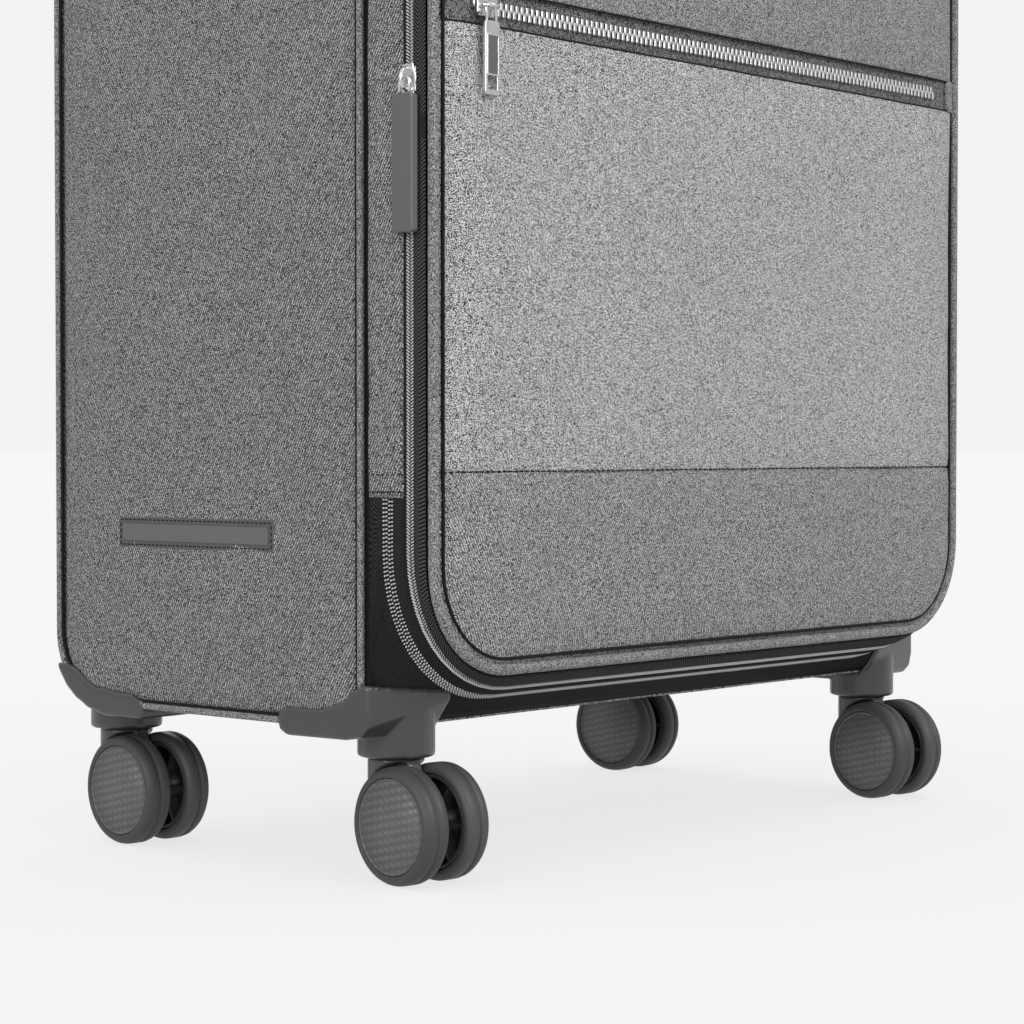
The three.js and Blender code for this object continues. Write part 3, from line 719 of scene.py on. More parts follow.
def carbon(name):
    """The wheel caps' twill pattern: bundles of fine lines, turned by a quarter from cell to cell."""
    look = Look(name)
    across, up, _ = look.split(look.made("ShaderNodeAttribute", output="Vector", attribute_name="tape"))
    a, b = across / 3.6, up / 0.825
    over = alternate(look, a, b, 4.0)
    height = look.mix(over, ridge(b) + look.sine(up, 0.3) * 0.12, ridge(a) + look.sine(across, 0.3) * 0.12)
    # The cells take turns paler and darker. Each bundle is also paler along its crown and darker at its
    # sides: painted shade of the weave's relief.
    look.colour(grey(0.10), look.mix(over, 0.86, 1.12) * (0.8 + height * 0.25))
    look.set("Roughness", look.mix(over, 0.5, 0.36))
    look.bump(height, 0.1, 0.7)
    return look.material


BODY_CLOTH = woven("body_twill", 0.6, 0.01, 0.40, speckle=0.7, rib=1.3, relief=0.52, contrast=13.0)
FRONT_CLOTH = woven("front_melange", 0.6, 0.01, 0.69, False, slub=0.4, speckle=0.72, contrast=20.0)
BAND_CLOTH = woven("band_twill", 0.6, 0.025, 0.48, speckle=0.66, rib=1.0, relief=0.42, contrast=13.0)
UPPER_CLOTH = woven("upper_twill", 0.6, 0.025, 0.43, speckle=0.66, rib=0.4, relief=0.36)
WINDOW_CLOTH = woven("window_twill", 0.6, 0.015, 0.25, rib=0.7, relief=0.5)
RIM_CLOTH = woven("rim_twill", 0.6, 0.022, 0.42, speckle=0.4, rib=0.9, relief=0.6)
BOTTOM_CLOTH = woven("bottom_twill", 0.6, 0.03, 0.5, speckle=0.4, rib=0.4)
CORD_CLOTH = woven("cord_cloth", 0.55, 0.02, 0.42, speckle=0.6, rib=0.4)
LINING = woven("lining_cloth", 0.45, 0.06, 0.16, False, slub=0.1, speckle=0.4, contrast=5.0)
ZIP_TAPE = tape_look("zip_tape", 0.018, 2.6, 1.1)
HERRINGBONE = tape_look("herringbone_tape", 0.03, 5.4, 1.6)
WEBBING = tape_look("webbing", 0.04, 3.4, 1.5)
# The coil is given a much paler grey than its dark plastic, so its loops' heads show bright: painted
# highlight.
COIL = moulded("zip_coil", 0.36, 0.28, 0.3, 0.01, shine=0.7)
# Near-black: the stitching thread, and also the painted shade in the rim groove, beside the side piping and
# along the pocket window's folds.
THREAD_AND_SHADE = moulded("thread_and_shade", 0.006, 0.7, 0.25, 0.04, shine=0.15)
SATIN = moulded("satin_plastic", 0.036, 0.3, 0.35, 0.03, coat=0.3, shine=0.6)
WHEEL_PLASTIC = moulded("wheel_plastic", 0.03, 0.4, 0.4, 0.03, shine=0.35)
TYRE = moulded("tyre_rubber", 0.05, 0.5, 0.35, 0.03, shine=0.35)
PULL_RUBBER = moulded("pull_rubber", 0.08, 0.34, 0.5, 0.015, coat=0.3, shine=0.45)
GRIP_RUBBER = moulded("grip_rubber", 0.02, 0.55, 0.3, 0.05, shine=0.25)
BADGE = moulded("badge_leather", 0.068, 0.5, 0.45, 0.08, shine=0.35)
STEEL = metal("plated_steel", 0.7, 0.26)
TOOTH_METAL = metal("tooth_metal", 0.55, 0.34)
ALUMINIUM = metal("anodised_tube", 0.42, 0.36, stretch=(1.0, 1.0, 0.02))
AXLE_STEEL = metal("axle_steel", 0.5, 0.3, stretch=(0.06, 1.0, 1.0))
CARBON = carbon("carbon_cap")

# ---- bag: side panels, the band round them, and the front rim ------------------------------------

BODY = "case_body"
CORD_RADIUS = 1.5
SIDE_CROWN = 2.6
side_shape = Panel(BAG["front"] + 3.4, BAG["back"] - 3.0, BAG["low"] + 3.0, BAG["high"] - 3.0,
                   (7.0, 27.0, 17.0, 7.0))


def side_panel(side, name):
    u, v = side_shape.grid(columns=34)
    inside = side_shape.depth(u, v)
    waves = waves_over(u, v, 55, 3 + side)
    swell = crown(inside, SIDE_CROWN, 16) - np.exp(-inside / 1.6)
    swell += 0.9 * waves * np.clip(inside / 30, 0, 1)
    x = side * (BAG["half"] + swell)
    obj = cloth_sheet(f"side_{name}_fabric", x, u, v, (side, 0, 0), [BODY_CLOTH, LINING])
    puff(obj, 1.2)
    thicken(obj, WALL + SIDE_CROWN - 0.6, 1)
    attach(obj, BODY)
    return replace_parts(obj, f"side_panel_{name}")


def side_cord(side, name):
    """The piping round a side panel, and a thin near-black cord where it is sewn to the rim: painted shade in
    the crease beside the piping.
    """
    radii = (FRONT_CORNER, REAR_RADIUS["low"], REAR_RADIUS["high"], FRONT_CORNER)
    loop = rounded_loop(BAG["front"], BAG["back"], BAG["low"], BAG["high"], radii, 14, 60)
    inwards = np.clip(BAG_MIDDLE - loop, -1, 1)

    def ring(inset, out):
        line = loop + inwards * inset
        at = np.column_stack([np.full(len(loop), side * (BAG["half"] + out)), line])
        return Track(at - [side * 0.5, 0, 0], at + [side * 0.5, 0, 0])

    cord_ring(f"side_{name}_piping", ring(1.1, 0.5), CORD_RADIUS, CORD_CLOTH, BODY)
    # A thin near-black cord in the crease beside the piping: painted shade.
    cord_ring(f"side_{name}_seam", ring(3.1, 0.5), 0.75, THREAD_AND_SHADE, BODY, sides=6)


for side, name in ((-1, "left"), (1, "right")):
    side_panel(side, name)
    side_cord(side, name)

BAND_HALF = BAG["half"] - 1.5
TRAY_HOLE = {"half": 110.5, "front": 58.0, "back": 108.5}


def band_path(first, last):
    """(y, z) points and how they face, along the bottom, the back or the top of the band."""
    low, high = REAR_RADIUS["low"], REAR_RADIUS["high"]
    turn_low = np.linspace(-math.pi / 2, 0, 10)
    turn_high = np.linspace(0, math.pi / 2, 10)
    bottom_y = np.linspace(BAG["front"] - 0.3, BAG["back"] - low, 24)[:-1]
    top_y = np.concatenate([np.linspace(BAG["back"] - high, TRAY_HOLE["front"], 6),
                            np.linspace(TRAY_HOLE["front"], BAG["front"] - 0.3, 20)[1:]])
    parts = {
        "bottom": (np.column_stack([bottom_y, np.full(23, BAG["low"])]), np.tile([0, -1.0], (23, 1))),
        "low_corner": (np.column_stack([BAG["back"] - low + low * np.cos(turn_low),
                                        BAG["low"] + low + low * np.sin(turn_low)]),
                       np.column_stack([np.cos(turn_low), np.sin(turn_low)])),
        "back": (np.column_stack([np.full(50, BAG["back"]),
                                  np.linspace(BAG["low"] + low, BAG["high"] - high, 50)]),
                 np.tile([1.0, 0], (50, 1))),
        "high_corner": (np.column_stack([BAG["back"] - high + high * np.cos(turn_high),
                                         BAG["high"] - high + high * np.sin(turn_high)]),
                        np.column_stack([np.cos(turn_high), np.sin(turn_high)])),
        "top": (np.column_stack([top_y, np.full(len(top_y), BAG["high"])])[1:],
                np.tile([0, 1.0], (len(top_y) - 1, 1))),
    }
    order = list(parts)
    used = order[order.index(first):order.index(last) + 1]
    return np.concatenate([parts[k][0] for k in used]), np.concatenate([parts[k][1] for k in used])


def band(name, first, last, material, node, lift, hole=False, seed=0):
    path, out = band_path(first, last)
    share = np.linspace(-1, 1, 51)
    x = np.sign(share) * BAND_HALF * (1 - (1 - np.abs(share)) ** 1.15)
    if hole:
        x[np.argmin(np.abs(x + TRAY_HOLE["half"]))] = -TRAY_HOLE["half"]
        x[np.argmin(np.abs(x - TRAY_HOLE["half"]))] = TRAY_HOLE["half"]
    along = run_lengths(path)
    ends = np.minimum(along, along[-1] - along)
    inside = np.minimum(BAND_HALF - np.abs(x)[None], ends[:, None] + 8)
    base = np.stack([np.tile(x, (len(path), 1)), np.repeat(along[:, None], len(x), 1)], -1).reshape(-1, 2)
    waves = unevenness(np.column_stack([base, np.zeros(len(base))]), 60, seed).reshape(inside.shape)
    swell = crown(inside, lift, 14) + 0.8 * waves * np.clip(inside / 30, 0, 1)
    points = np.stack([
        np.tile(x, (len(path), 1)),
        path[:, :1] + out[:, :1] * swell,
        path[:, 1:] + out[:, 1:] * swell,
    ], -1).reshape(-1, 3)
    faces = grid_faces(len(path), len(x))
    if hole:
        centre = points[faces].mean(1)
        within = (np.abs(centre[:, 0]) < TRAY_HOLE["half"]) & (centre[:, 1] > TRAY_HOLE["front"]) \
            & (centre[:, 1] < TRAY_HOLE["back"])
        faces = faces[~within]
    centre = points[faces[len(faces) // 3]].mean(0)
    away = centre - np.array([centre[0], *BAG_MIDDLE])
    obj = piece(name, points, facing(points, faces, away, part=3), [material, LINING])
    thicken(obj, 3.2, 1)
    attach(obj, BODY)
    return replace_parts(obj, node)


band("bottom_fabric", "bottom", "low_corner", BOTTOM_CLOTH, "bottom_panel", 0.4, seed=11)
band("back_fabric", "back", "back", BODY_CLOTH, "back_panel", 0.9, seed=12)
band("top_fabric", "high_corner", "top", BODY_CLOTH, "top_panel", 1.2, hole=True, seed=13)

# The rim fans out from the band's square corners to the lid's round ones.
RIM_SECTION = ((-76.6, -1.0), (-78.0, -2.6), (-79.6, -2.4), (-80.8, -0.4), (-82.5, 0.6), (-84.2, 0.5),
               (-85.6, -0.2))
rim_rows = [outline(depth, out=lift) for depth, lift in RIM_SECTION]
rim = skin("front_rim_fabric", rim_rows, [RIM_CLOTH, LINING])
thicken(rim, 2.5, 1)
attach(rim, BODY)
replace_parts(rim, "front_rim")

# A near-black sheet lies in the deep groove beside each side panel, where the rim is sewn in: painted shade,
# standing in for the shadow in that groove.
GROOVE_SHADE = {"depths": (-77.2, -78.4, -79.8, -81.0), "lifts": (-0.6, -0.3, 0.2, 0.9)}
groove_shade_rows = [outline(depth, out=lift) for depth, lift in zip(GROOVE_SHADE["depths"], GROOVE_SHADE["lifts"])]
groove_shade = skin("front_rim_groove_shade", groove_shade_rows, THREAD_AND_SHADE)
thicken(groove_shade, 1.0)
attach(groove_shade, BODY)

# ---- zips round the case -------------------------------------------------------------------------

def tape_band(name, depths, lifts, material, body, opening=None, thick=0.8):
    """A band round the case at the given depths, each lifted off the case's own surface."""
    rows = [outline(depth, out=lift, opening=opening) for depth, lift in zip(depths, lifts)]
    obj = skin(name, rows, material, closed=opening is None)
    thicken(obj, thick)
    if body:
        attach(obj, body)
    return obj


def ring_track(rear, front, lift, opening=None):
    return Track(outline(rear, lift, opening), outline(front, lift, opening), closed=opening is None)


SPAN = (HINGE["low"] + 0.5, HINGE["high"] - 0.5)
# Main zip: one half is sewn to the bag and the other to the lid, and they meet at MAIN_MIDDLE.
MAIN_MIDDLE = -89.5
MAIN_PITCH = 1.65
body_tape = tape_band("main_zip_body_tape", (-80.6, -83.5, MAIN_MIDDLE + 2.9, MAIN_MIDDLE + 0.05),
                      (0.9, 1.2, 0.6, 0.0), ZIP_TAPE, BODY, SPAN)
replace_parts(body_tape, "main_zip")
tape_band("main_zip_lid_tape", (MAIN_MIDDLE - 0.05, MAIN_MIDDLE - 2.9, -95.2, -97.9),
          (0.0, 0.6, 1.2, 0.9), ZIP_TAPE, "lid", SPAN)
lid_ring = tape_band("lid_frame_fabric", (-92.6, -95.7, -98.8), (0.0, 0.3, 0.0), [RIM_CLOTH, LINING], None,
                     thick=2.6)
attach(lid_ring, "lid")
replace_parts(lid_ring, "lid_frame")

main_track = ring_track(MAIN_MIDDLE + 3, MAIN_MIDDLE - 3, 0.2, SPAN)
main_beads = beads((0.72, 2.15), 0.95, 0.85, 0.8)
for owner, side in ((BODY, -1), ("lid", 1)):
    name = "body" if side < 0 else "lid"
    teeth(f"main_zip_{name}_coil", main_track, main_beads, MAIN_PITCH, side, owner)

# Expander zip: one half on the lid, the other on the front panel, which it lets move forward.
EXPANDER_MIDDLE = -100.6
EXPANDER_PITCH = 1.3
rear_tape = tape_band("expander_zip_lid_tape", (-98.0, -98.9, EXPANDER_MIDDLE + 0.05), (0.8, 0.2, -0.2),
                      ZIP_TAPE, "lid")
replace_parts(rear_tape, "expander_zip")
tape_band("expander_zip_front_tape", (EXPANDER_MIDDLE - 0.05, -102.4, -103.2), (-0.2, 0.2, 0.8),
          ZIP_TAPE, "lid_front")
expander_track = ring_track(EXPANDER_MIDDLE + 2, EXPANDER_MIDDLE - 2, 0.0)
for owner, side in (("lid", -1), ("lid_front", 1)):
    name = "lid" if side < 0 else "front"
    expander_beads = beads((1.05,), 2.3, 0.66, 0.8, slant=0.65 * side)
    teeth(f"expander_zip_{name}_coil", expander_track, expander_beads, EXPANDER_PITCH, side, owner)

# The gusset lies behind the expander zip.
gusset = tape_band("expander_gusset_fabric", np.linspace(-99.4, -102.8, 14), np.full(14, -3.0), LINING, None,
                   thick=0.5)
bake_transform(gusset)
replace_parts(gusset, "expander_gusset")

# Fabric hinge: a doubled strip up the left side, sewn across at both ends.
hinge_depths = np.linspace(-80.6, -97.8, 11)
hinge_heights = np.linspace(HINGE["low"], HINGE["high"], 70)
inset = np.interp(hinge_depths, STATIONS[:, 0], STATIONS[:, 1])
bulge = 1.3 + 0.8 * np.sin(np.linspace(0, math.pi, 11))
depth_grid, height_grid = np.meshgrid(hinge_depths, hinge_heights)
end_share = np.clip(np.minimum(height_grid - HINGE["low"], HINGE["high"] - height_grid) / 12, 0, 1)
ripple = unevenness(np.column_stack([depth_grid.ravel(), height_grid.ravel(), depth_grid.ravel()]), 26, 5)
strip_x = -(BAG["half"] - inset[None] + bulge[None] * (0.75 + 0.25 * end_share)
            + 0.7 * ripple.reshape(depth_grid.shape) * end_share)
hinge = cloth_sheet("hinge_strip_fabric", strip_x, depth_grid, height_grid, (-1, 0, 0), BODY_CLOTH)
thicken(hinge, 1.0)
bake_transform(hinge)
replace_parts(hinge, "hinge_strip")

# ---- front panel ---------------------------------------------------------------------------------

FRONT = "lid_front"
tape_band("herringbone_band", (-102.8, -104.6, -106.6, -108.2), (1.0, 1.4, 1.3, 0.6), HERRINGBONE, FRONT,
          thick=1.2)
PIPING = {"depth": -109.9, "radius": 2.3, "out": -0.3}
SEAM_LINE = {"depth": -110.8, "radius": 0.8, "out": -3.2}
piping_track = Track(outline(PIPING["depth"] + 1, PIPING["out"]), outline(PIPING["depth"] - 1, PIPING["out"]))
cord_ring("front_piping", piping_track, PIPING["radius"], CORD_CLOTH, FRONT,
          sides=12, step=2.5)
seam_track = Track(outline(SEAM_LINE["depth"] + 1, SEAM_LINE["out"]),
                   outline(SEAM_LINE["depth"] - 1, SEAM_LINE["out"]))
cord_ring("front_piping_seam", seam_track, SEAM_LINE["radius"], THREAD_AND_SHADE, FRONT, sides=6, step=3)

SEAM_HEIGHT = 165.7
ZIP_HEIGHT = node_box("pocket_zip")[0][2] / 2 + node_box("pocket_zip")[1][2] / 2
WINDOW = {"half": 7.2}
FACE = -112.0
EDGE_DROP = 3.4  # how far back the panel's sewn edge lies from its face
face_shape = Panel(-190.6, 190.6, 86.8, 506.2, (41.0,) * 4)


FACE_CROWN = 1.0


def face_depth(x, z, seams, seed):
    """How far forward the panel's fabric lies: crowned from its edge, and pulled in along seams."""
    inside = face_shape.depth(x, z)
    y = FACE + EDGE_DROP - crown(inside, EDGE_DROP + 1.2, 5.0)
    y -= crown(inside, FACE_CROWN, 60)
    for height in seams:
        y += 1.3 * np.exp(-np.abs(z - height) / 1.8)
    waves = waves_over(x, z, 70, seed) + 0.5 * waves_over(x, z, 26, seed + 9)
    return y - 0.9 * waves * np.clip(inside / 25, 0, 1)


FACE_PUFF = 1.5
FACE_THICK = 2.5


def face_part(name, low, high, seams, material, seed):
    """The front panel's fabric between two heights."""
    u, v = face_shape.grid(low, high, columns=52, step=7.5)
    y = face_depth(u, v, seams, seed)
    obj = cloth_sheet(name, u, y, v, (0, -1, 0), [material, LINING])
    puff(obj, FACE_PUFF)
    thicken(obj, FACE_THICK, 1)
    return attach(obj, FRONT)


main_field = face_part("front_main_field", SEAM_HEIGHT, ZIP_HEIGHT - WINDOW["half"], [SEAM_HEIGHT],
                       FRONT_CLOTH, 21)
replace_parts(main_field, "lid_panel")
face_part("front_lower_band", face_shape.v0, SEAM_HEIGHT, [SEAM_HEIGHT], BAND_CLOTH, 22)
face_part("front_upper_field", ZIP_HEIGHT + WINDOW["half"], face_shape.v1, [], UPPER_CLOTH,
          23)

# The zip lies in a window of dark tape, whose cut edges are folded under.
window_x = np.linspace(-190.0, 190.0, 60)
window_z = ZIP_HEIGHT + np.array([-11.0, -7.0, -3.0, 0.0, 3.0, 7.0, 11.0])
u, v = np.meshgrid(window_x, window_z)
window_y = FACE - 0.15 + EDGE_DROP * np.exp(-np.maximum(face_shape.depth(u, v), 0) / 4)
window_tape = cloth_sheet("pocket_zip_tape", u, window_y, v, (0, -1, 0), WINDOW_CLOTH)
thicken(window_tape, 0.8)
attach(window_tape, FRONT)

# A folded tab closes the window beyond the zip's right end.
TAB = {"left": 179.0, "right": 189.6, "corner": 3.0, "lift": 0.9}
tab_half = WINDOW["half"] + 0.3
tab_x, tab_z = np.meshgrid(np.linspace(TAB["left"], TAB["right"], 10), np.linspace(-tab_half, tab_half, 13))
corner = np.maximum(np.abs(tab_z) - tab_half + TAB["corner"], 0)
bow = TAB["corner"] - np.sqrt(np.maximum(TAB["corner"] ** 2 - corner ** 2, 0))
tab_x = tab_x + bow * (TAB["right"] - tab_x) / (TAB["right"] - TAB["left"])
tab_z = tab_z + ZIP_HEIGHT
tab_y = face_depth(tab_x, tab_z, [], seed=23) - TAB["lift"]
end_tab = cloth_sheet("pocket_window_tab", tab_x, tab_y, tab_z, (0, -1, 0), UPPER_CLOTH)
thicken(end_tab, 1.6)
rounded(end_tab, 0.5)
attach(end_tab, FRONT)


def on_face(x, z, seams=(), seed=0, lift=0.2):
    x, z = np.asarray(x, float), np.asarray(z, float)
    return np.stack([x, face_depth(x, z, list(seams), seed=seed) - lift, z], 1)


# The fabric is folded under along both edges of the window. A thin near-black cord along each edge is painted
# shade, standing in for the shadow at the fold.
run = np.linspace(-187.0, TAB["left"] + 1.0, 90)
for name, way, seed in (("upper", 1, 23), ("lower", -1, 21)):
    fold = on_face(run, np.full(90, ZIP_HEIGHT + way * WINDOW["half"]), seed=seed, lift=0.0)
    fold_shade_track = Track(fold - [0, 0, 0.5], fold + [0, 0, 0.5], closed=False)
    cord_ring(f"pocket_{name}_fold", fold_shade_track, 0.42, THREAD_AND_SHADE, FRONT, sides=6)
run = np.linspace(-187.5, 187.5, 90)
seam_places = on_face(run, np.full(90, SEAM_HEIGHT + 0.4), [SEAM_HEIGHT], 21, 0.0)
stitches("seam_stitches", seam_places, (0, -1, 0), FRONT)

# ---- pocket zip: moulded teeth with a metal look -------------------------------------------------

TEETH = {"pitch": 3.17, "reach": 3.0, "width": 1.9, "height": 1.6}
zip_low, zip_high = node_box("pocket_zip")
template, tooth_faces = metal_tooth(TEETH["reach"], TEETH["width"], TEETH["height"])
count = int((zip_high[0] - zip_low[0]) / TEETH["pitch"])
points, all_faces = [], []
for side in (1, -1):
    x = zip_low[0] + (np.arange(count) + (0.25 if side > 0 else 0.75)) * TEETH["pitch"]
    middle = np.column_stack([x, np.full(count, FACE - 0.3), np.full(count, ZIP_HEIGHT)])
    ones = np.ones((count, 1))
    found, turned = repeated(template, tooth_faces, middle, ones * [side, 0, 0], ones * [0, 0, side],
                             ones * [0, -1, 0])
    all_faces += [[i + sum(map(len, points)) for i in f] for f in turned]
    points.append(found)
pocket_teeth = piece("pocket_zip_teeth", np.concatenate(points), all_faces, TOOTH_METAL, FRONT,
                     smooth=False)
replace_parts(pocket_teeth, "pocket_zip")

# ---- flat shapes with rounded edges: pulls, badge and straps -------------------------------------

def ring_points(width, height, radius, steps=5, centre=(0, 0)):
    """A rounded rectangle about a centre, anticlockwise."""
    w, h = width / 2 - radius, height / 2 - radius
    points = []
    for x, y, start in ((w, -h, -0.5), (w, h, 0), (-w, h, 0.5), (-w, -h, 1)):
        turn = math.pi * (start + np.linspace(0, 0.5, steps))
        points += [(x + centre[0] + radius * math.cos(t), y + centre[1] + radius * math.sin(t)) for t in turn]
    return points


def plate(name, outlines, thick, bevel, material, place, segments=2):
    """A plate cut to the first outline with the others as holes, its edges bevelled. place is the
    matrix from its own millimetres, with its thickness along Z about 0, to case millimetres."""
    curve = bpy.data.curves.new(name, "CURVE")
    curve.dimensions = "2D"
    curve.fill_mode = "BOTH"
    curve.extrude = thick / 2 - bevel
    curve.bevel_depth = bevel
    curve.bevel_resolution = segments
    curve.offset = -bevel
    for points in outlines:
        spline = curve.splines.new("POLY")
        spline.points.add(len(points) - 1)
        for point, (x, y) in zip(spline.points, points):
            point.co = (x, y, 0, 1)
        spline.use_cyclic_u = True
    maker = bpy.data.objects.new(name, curve)
    scene.collection.objects.link(maker)
    mesh = bpy.data.meshes.new_from_object(maker.evaluated_get(bpy.context.evaluated_depsgraph_get()))
    bpy.data.objects.remove(maker)
    edit = bmesh.new()
    edit.from_mesh(mesh)
    bmesh.ops.remove_doubles(edit, verts=edit.verts, dist=1e-4)
    bmesh.ops.recalc_face_normals(edit, faces=edit.faces)
    edit.transform(place)
    points = [tuple(v.co) for v in edit.verts]
    edit.verts.index_update()
    faces = [[v.index for v in f.verts] for f in edit.faces]
    edit.free()
    return piece(name, points, faces, material, smooth=False)


def frame_matrix(centre, x_axis, y_axis):
    """A matrix that puts a plate's own X and Y along these directions, at this centre."""
    x = Vector(x_axis).normalized()
    y = (Vector(y_axis) - Vector(y_axis).dot(x) * x).normalized()
    z = x.cross(y)
    matrix = Matrix((x, y, z)).transposed().to_4x4()
    matrix.translation = Vector(centre)
    return matrix


def united(name, parts, body, bevel=None):
    """Joins pieces into one object."""
    with bpy.context.temp_override(active_object=parts[0], selected_editable_objects=parts):
        bpy.ops.object.join()
    obj = parts[0]
    obj.name = name
    if bevel:
        rounded(obj, bevel)
    if body:
        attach(obj, body)
    return obj


WIRE_SIDES = 8


def wire(name, points, radius, material):
    """A bent round wire through points."""
    points = np.asarray(points, float)
    rows = []
    up = None
    for i, point in enumerate(points):
        ahead = points[min(i + 1, len(points) - 1)] - points[max(i - 1, 0)]
        ahead /= np.linalg.norm(ahead)
        if up is None:
            up = np.cross(ahead, [0.31, 0.52, 0.79])
        up = up - np.dot(up, ahead) * ahead
        up /= np.linalg.norm(up)
        side = np.cross(ahead, up)
        turn = np.linspace(0, 2 * math.pi, WIRE_SIDES, endpoint=False)
        rows.append(point + radius * (np.cos(turn)[:, None] * up + np.sin(turn)[:, None] * side))
    faces = grid_faces(len(points), WIRE_SIDES, wrap_columns=True)[:, ::-1].tolist()
    last = (len(points) - 1) * WIRE_SIDES
    faces += [tuple(range(WIRE_SIDES)), tuple(range(last, last + WIRE_SIDES))[::-1]]
    return piece(name, np.concatenate(rows), faces, material)


def solid_box(name, low, high, place, material):
    """A plain block between two corners of its own millimetres, for small bars; the sliders' flanges get
    their edges bevelled later, the wheels' ribs do not.
    """
    low, high = np.array(low), np.array(high)
    corners = np.array([(x, y, z) for x in (0, 1) for y in (0, 1) for z in (0, 1)]) * (high - low) + low
    points = [tuple(place @ Vector(c)) for c in corners]
    faces = [(0, 1, 3, 2), (4, 6, 7, 5), (0, 4, 5, 1), (2, 3, 7, 6), (0, 2, 6, 4), (1, 5, 7, 3)]
    return piece(name, points, faces, material, smooth=False)


def slider_piece(name, node, centre, outward, zip_way, width, body):
    """A zip slider: a waisted top plate with side flanges and an arched bridge."""
    out, way = Vector(outward).normalized(), Vector(zip_way).normalized()
    place = frame_matrix(centre, way, out.cross(way))
    half = 6.0
    share = np.linspace(-1, 1, 15)
    waist = width / 2 * (0.86 + 0.14 * np.cos(share * math.pi * 1.1) - 0.10 * np.maximum(share, 0) ** 2)
    upper = [(half * s, w) for s, w in zip(share, waist)]
    lower = [(x, -w) for x, w in reversed(upper)]
    lift = Matrix.Translation((0, 0, 1.3))
    plates = [plate("plate", [lower + upper], 1.1, 0.35, STEEL, place @ lift)]
    for side in (-1, 1):
        low = (-half + 1, side * width / 2 * 0.80 - 0.45, -0.2)
        high = (half - 1.4, side * width / 2 * 0.80 + 0.45, 1.4)
        plates.append(solid_box("flange", low, high, place, STEEL))
    arch = []
    for t in np.linspace(0, math.pi, 15):
        arch.append(place @ Vector((-4.2 * math.cos(t), 0, 1.6 + 4.4 * math.sin(t) ** 0.7)))
    plates.append(wire("bridge", arch, 0.75, STEEL))
    obj = united(f"{name}_slider_body", plates, None, bevel=0.2)
    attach(obj, body)
    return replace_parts(obj, node)

# ---- sliders and pulls ---------------------------------------------------------------------------

def bail(name, pivot, outward, hang, width, reach):
    """The wire loop that joins a pull to its slider."""
    out, down = np.array(outward, float), np.array(hang, float)
    cross = np.cross(out, down)
    turn = np.linspace(0, math.pi, 13)
    points = [np.array(pivot) - cross * width / 2 * math.cos(t) - down * width * 0.45 * math.sin(t)
              for t in turn]
    ends = [points[0] + down * reach, *points, points[-1] + down * reach]
    return wire(name, ends, 0.7, STEEL)


def rubber_pull(name, node, pivot, outward, hang, size, body):
    """A moulded tab with bevelled edges on a wire loop, with a raised pad on its face where a name would be.
    """
    length, width, thick = size
    out, down = Vector(outward), Vector(hang)
    gap = 4.4
    centre = Vector(pivot) + down * (gap + length / 2)
    place = frame_matrix(centre, out.cross(down) * -1, down * -1)
    tab = plate("tab", [ring_points(width, length, 1.4)], thick, 0.5, PULL_RUBBER, place)
    border = plate("border", [ring_points(width - 1.8, length - 2.0, 1.0)], 0.9, 0.4, PULL_RUBBER,
                   place @ Matrix.Translation((0, 0, thick / 2 + 0.2)))
    obj = united(f"{name}_pull_tab", [tab, border], None, bevel=0.3)
    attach(obj, body)
    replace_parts(obj, node)
    loop = bail(f"{name}_pull_wire", pivot, outward, hang, 5.2, gap + 2.5)
    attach(loop, body)
    return obj


expander_box = node_box("expander_slider")
expander_centre = (expander_box[0] + expander_box[1]) / 2
expander_centre[0] = expander_box[1][0] + 0.1
slider_piece("expander", "expander_slider", expander_centre, (-1, 0, 0), (0, 0, 1), 8.4,
             "expander_slider")
pull_low, pull_high = node_box("expander_pull")
pivot = ((pull_low[0] + pull_high[0]) / 2, expander_centre[1], pull_high[2] - 1.0)
rubber_pull("expander", "expander_pull", pivot, (-1, 0, 0), (0, 0, -1), (54, 11, 3.6), "expander_pull")

pocket_box = node_box("pocket_slider")
pocket_centre = (pocket_box[0] + pocket_box[1]) / 2
pocket_centre[1] = pocket_box[1][1] - 0.1
slider_piece("pocket", "pocket_slider", pocket_centre, (0, -1, 0), (-1, 0, 0), 8.8, "pocket_slider")
pull_low, pull_high = node_box("pocket_pull")
pull_centre = (pull_low + pull_high) / 2
PULLER = {"width": 8.5, "length": 29.0, "thick": 1.9}
puller_middle = (pull_centre[0], pull_centre[1], pull_low[2] + PULLER["length"] / 2)
puller_place = frame_matrix(puller_middle, (1, 0, 0), (0, 0, 1))
inlay_centre = (0, 1.2)
parts = [
    plate("frame", [ring_points(PULLER["width"], PULLER["length"], 1.1),
                    ring_points(5.4, 5.6, 0.7, centre=(0, -9.6))[::-1]],
          PULLER["thick"], 0.4, STEEL, puller_place),
    plate("lip", [ring_points(7.1, 16.5, 0.8, centre=inlay_centre),
                  ring_points(5.6, 15.0, 0.6, centre=inlay_centre)[::-1]], 0.7, 0.25, STEEL,
          puller_place @ Matrix.Translation((0, 0, PULLER["thick"] / 2))),
    bail("ears", (pull_centre[0], pull_centre[1], pull_high[2] - 0.8), (0, -1, 0), (0, 0, -1), 5.4, 6.0),
]
puller = united("pocket_pull_frame", parts, None)
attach(puller, "pocket_pull")
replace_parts(puller, "pocket_pull")
inlay = plate("pocket_pull_inlay", [ring_points(5.6, 15.0, 0.6, centre=inlay_centre)], 0.5, 0.15, PULL_RUBBER,
              puller_place @ Matrix.Translation((0, 0, PULLER["thick"] / 2)))
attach(inlay, "pocket_pull")

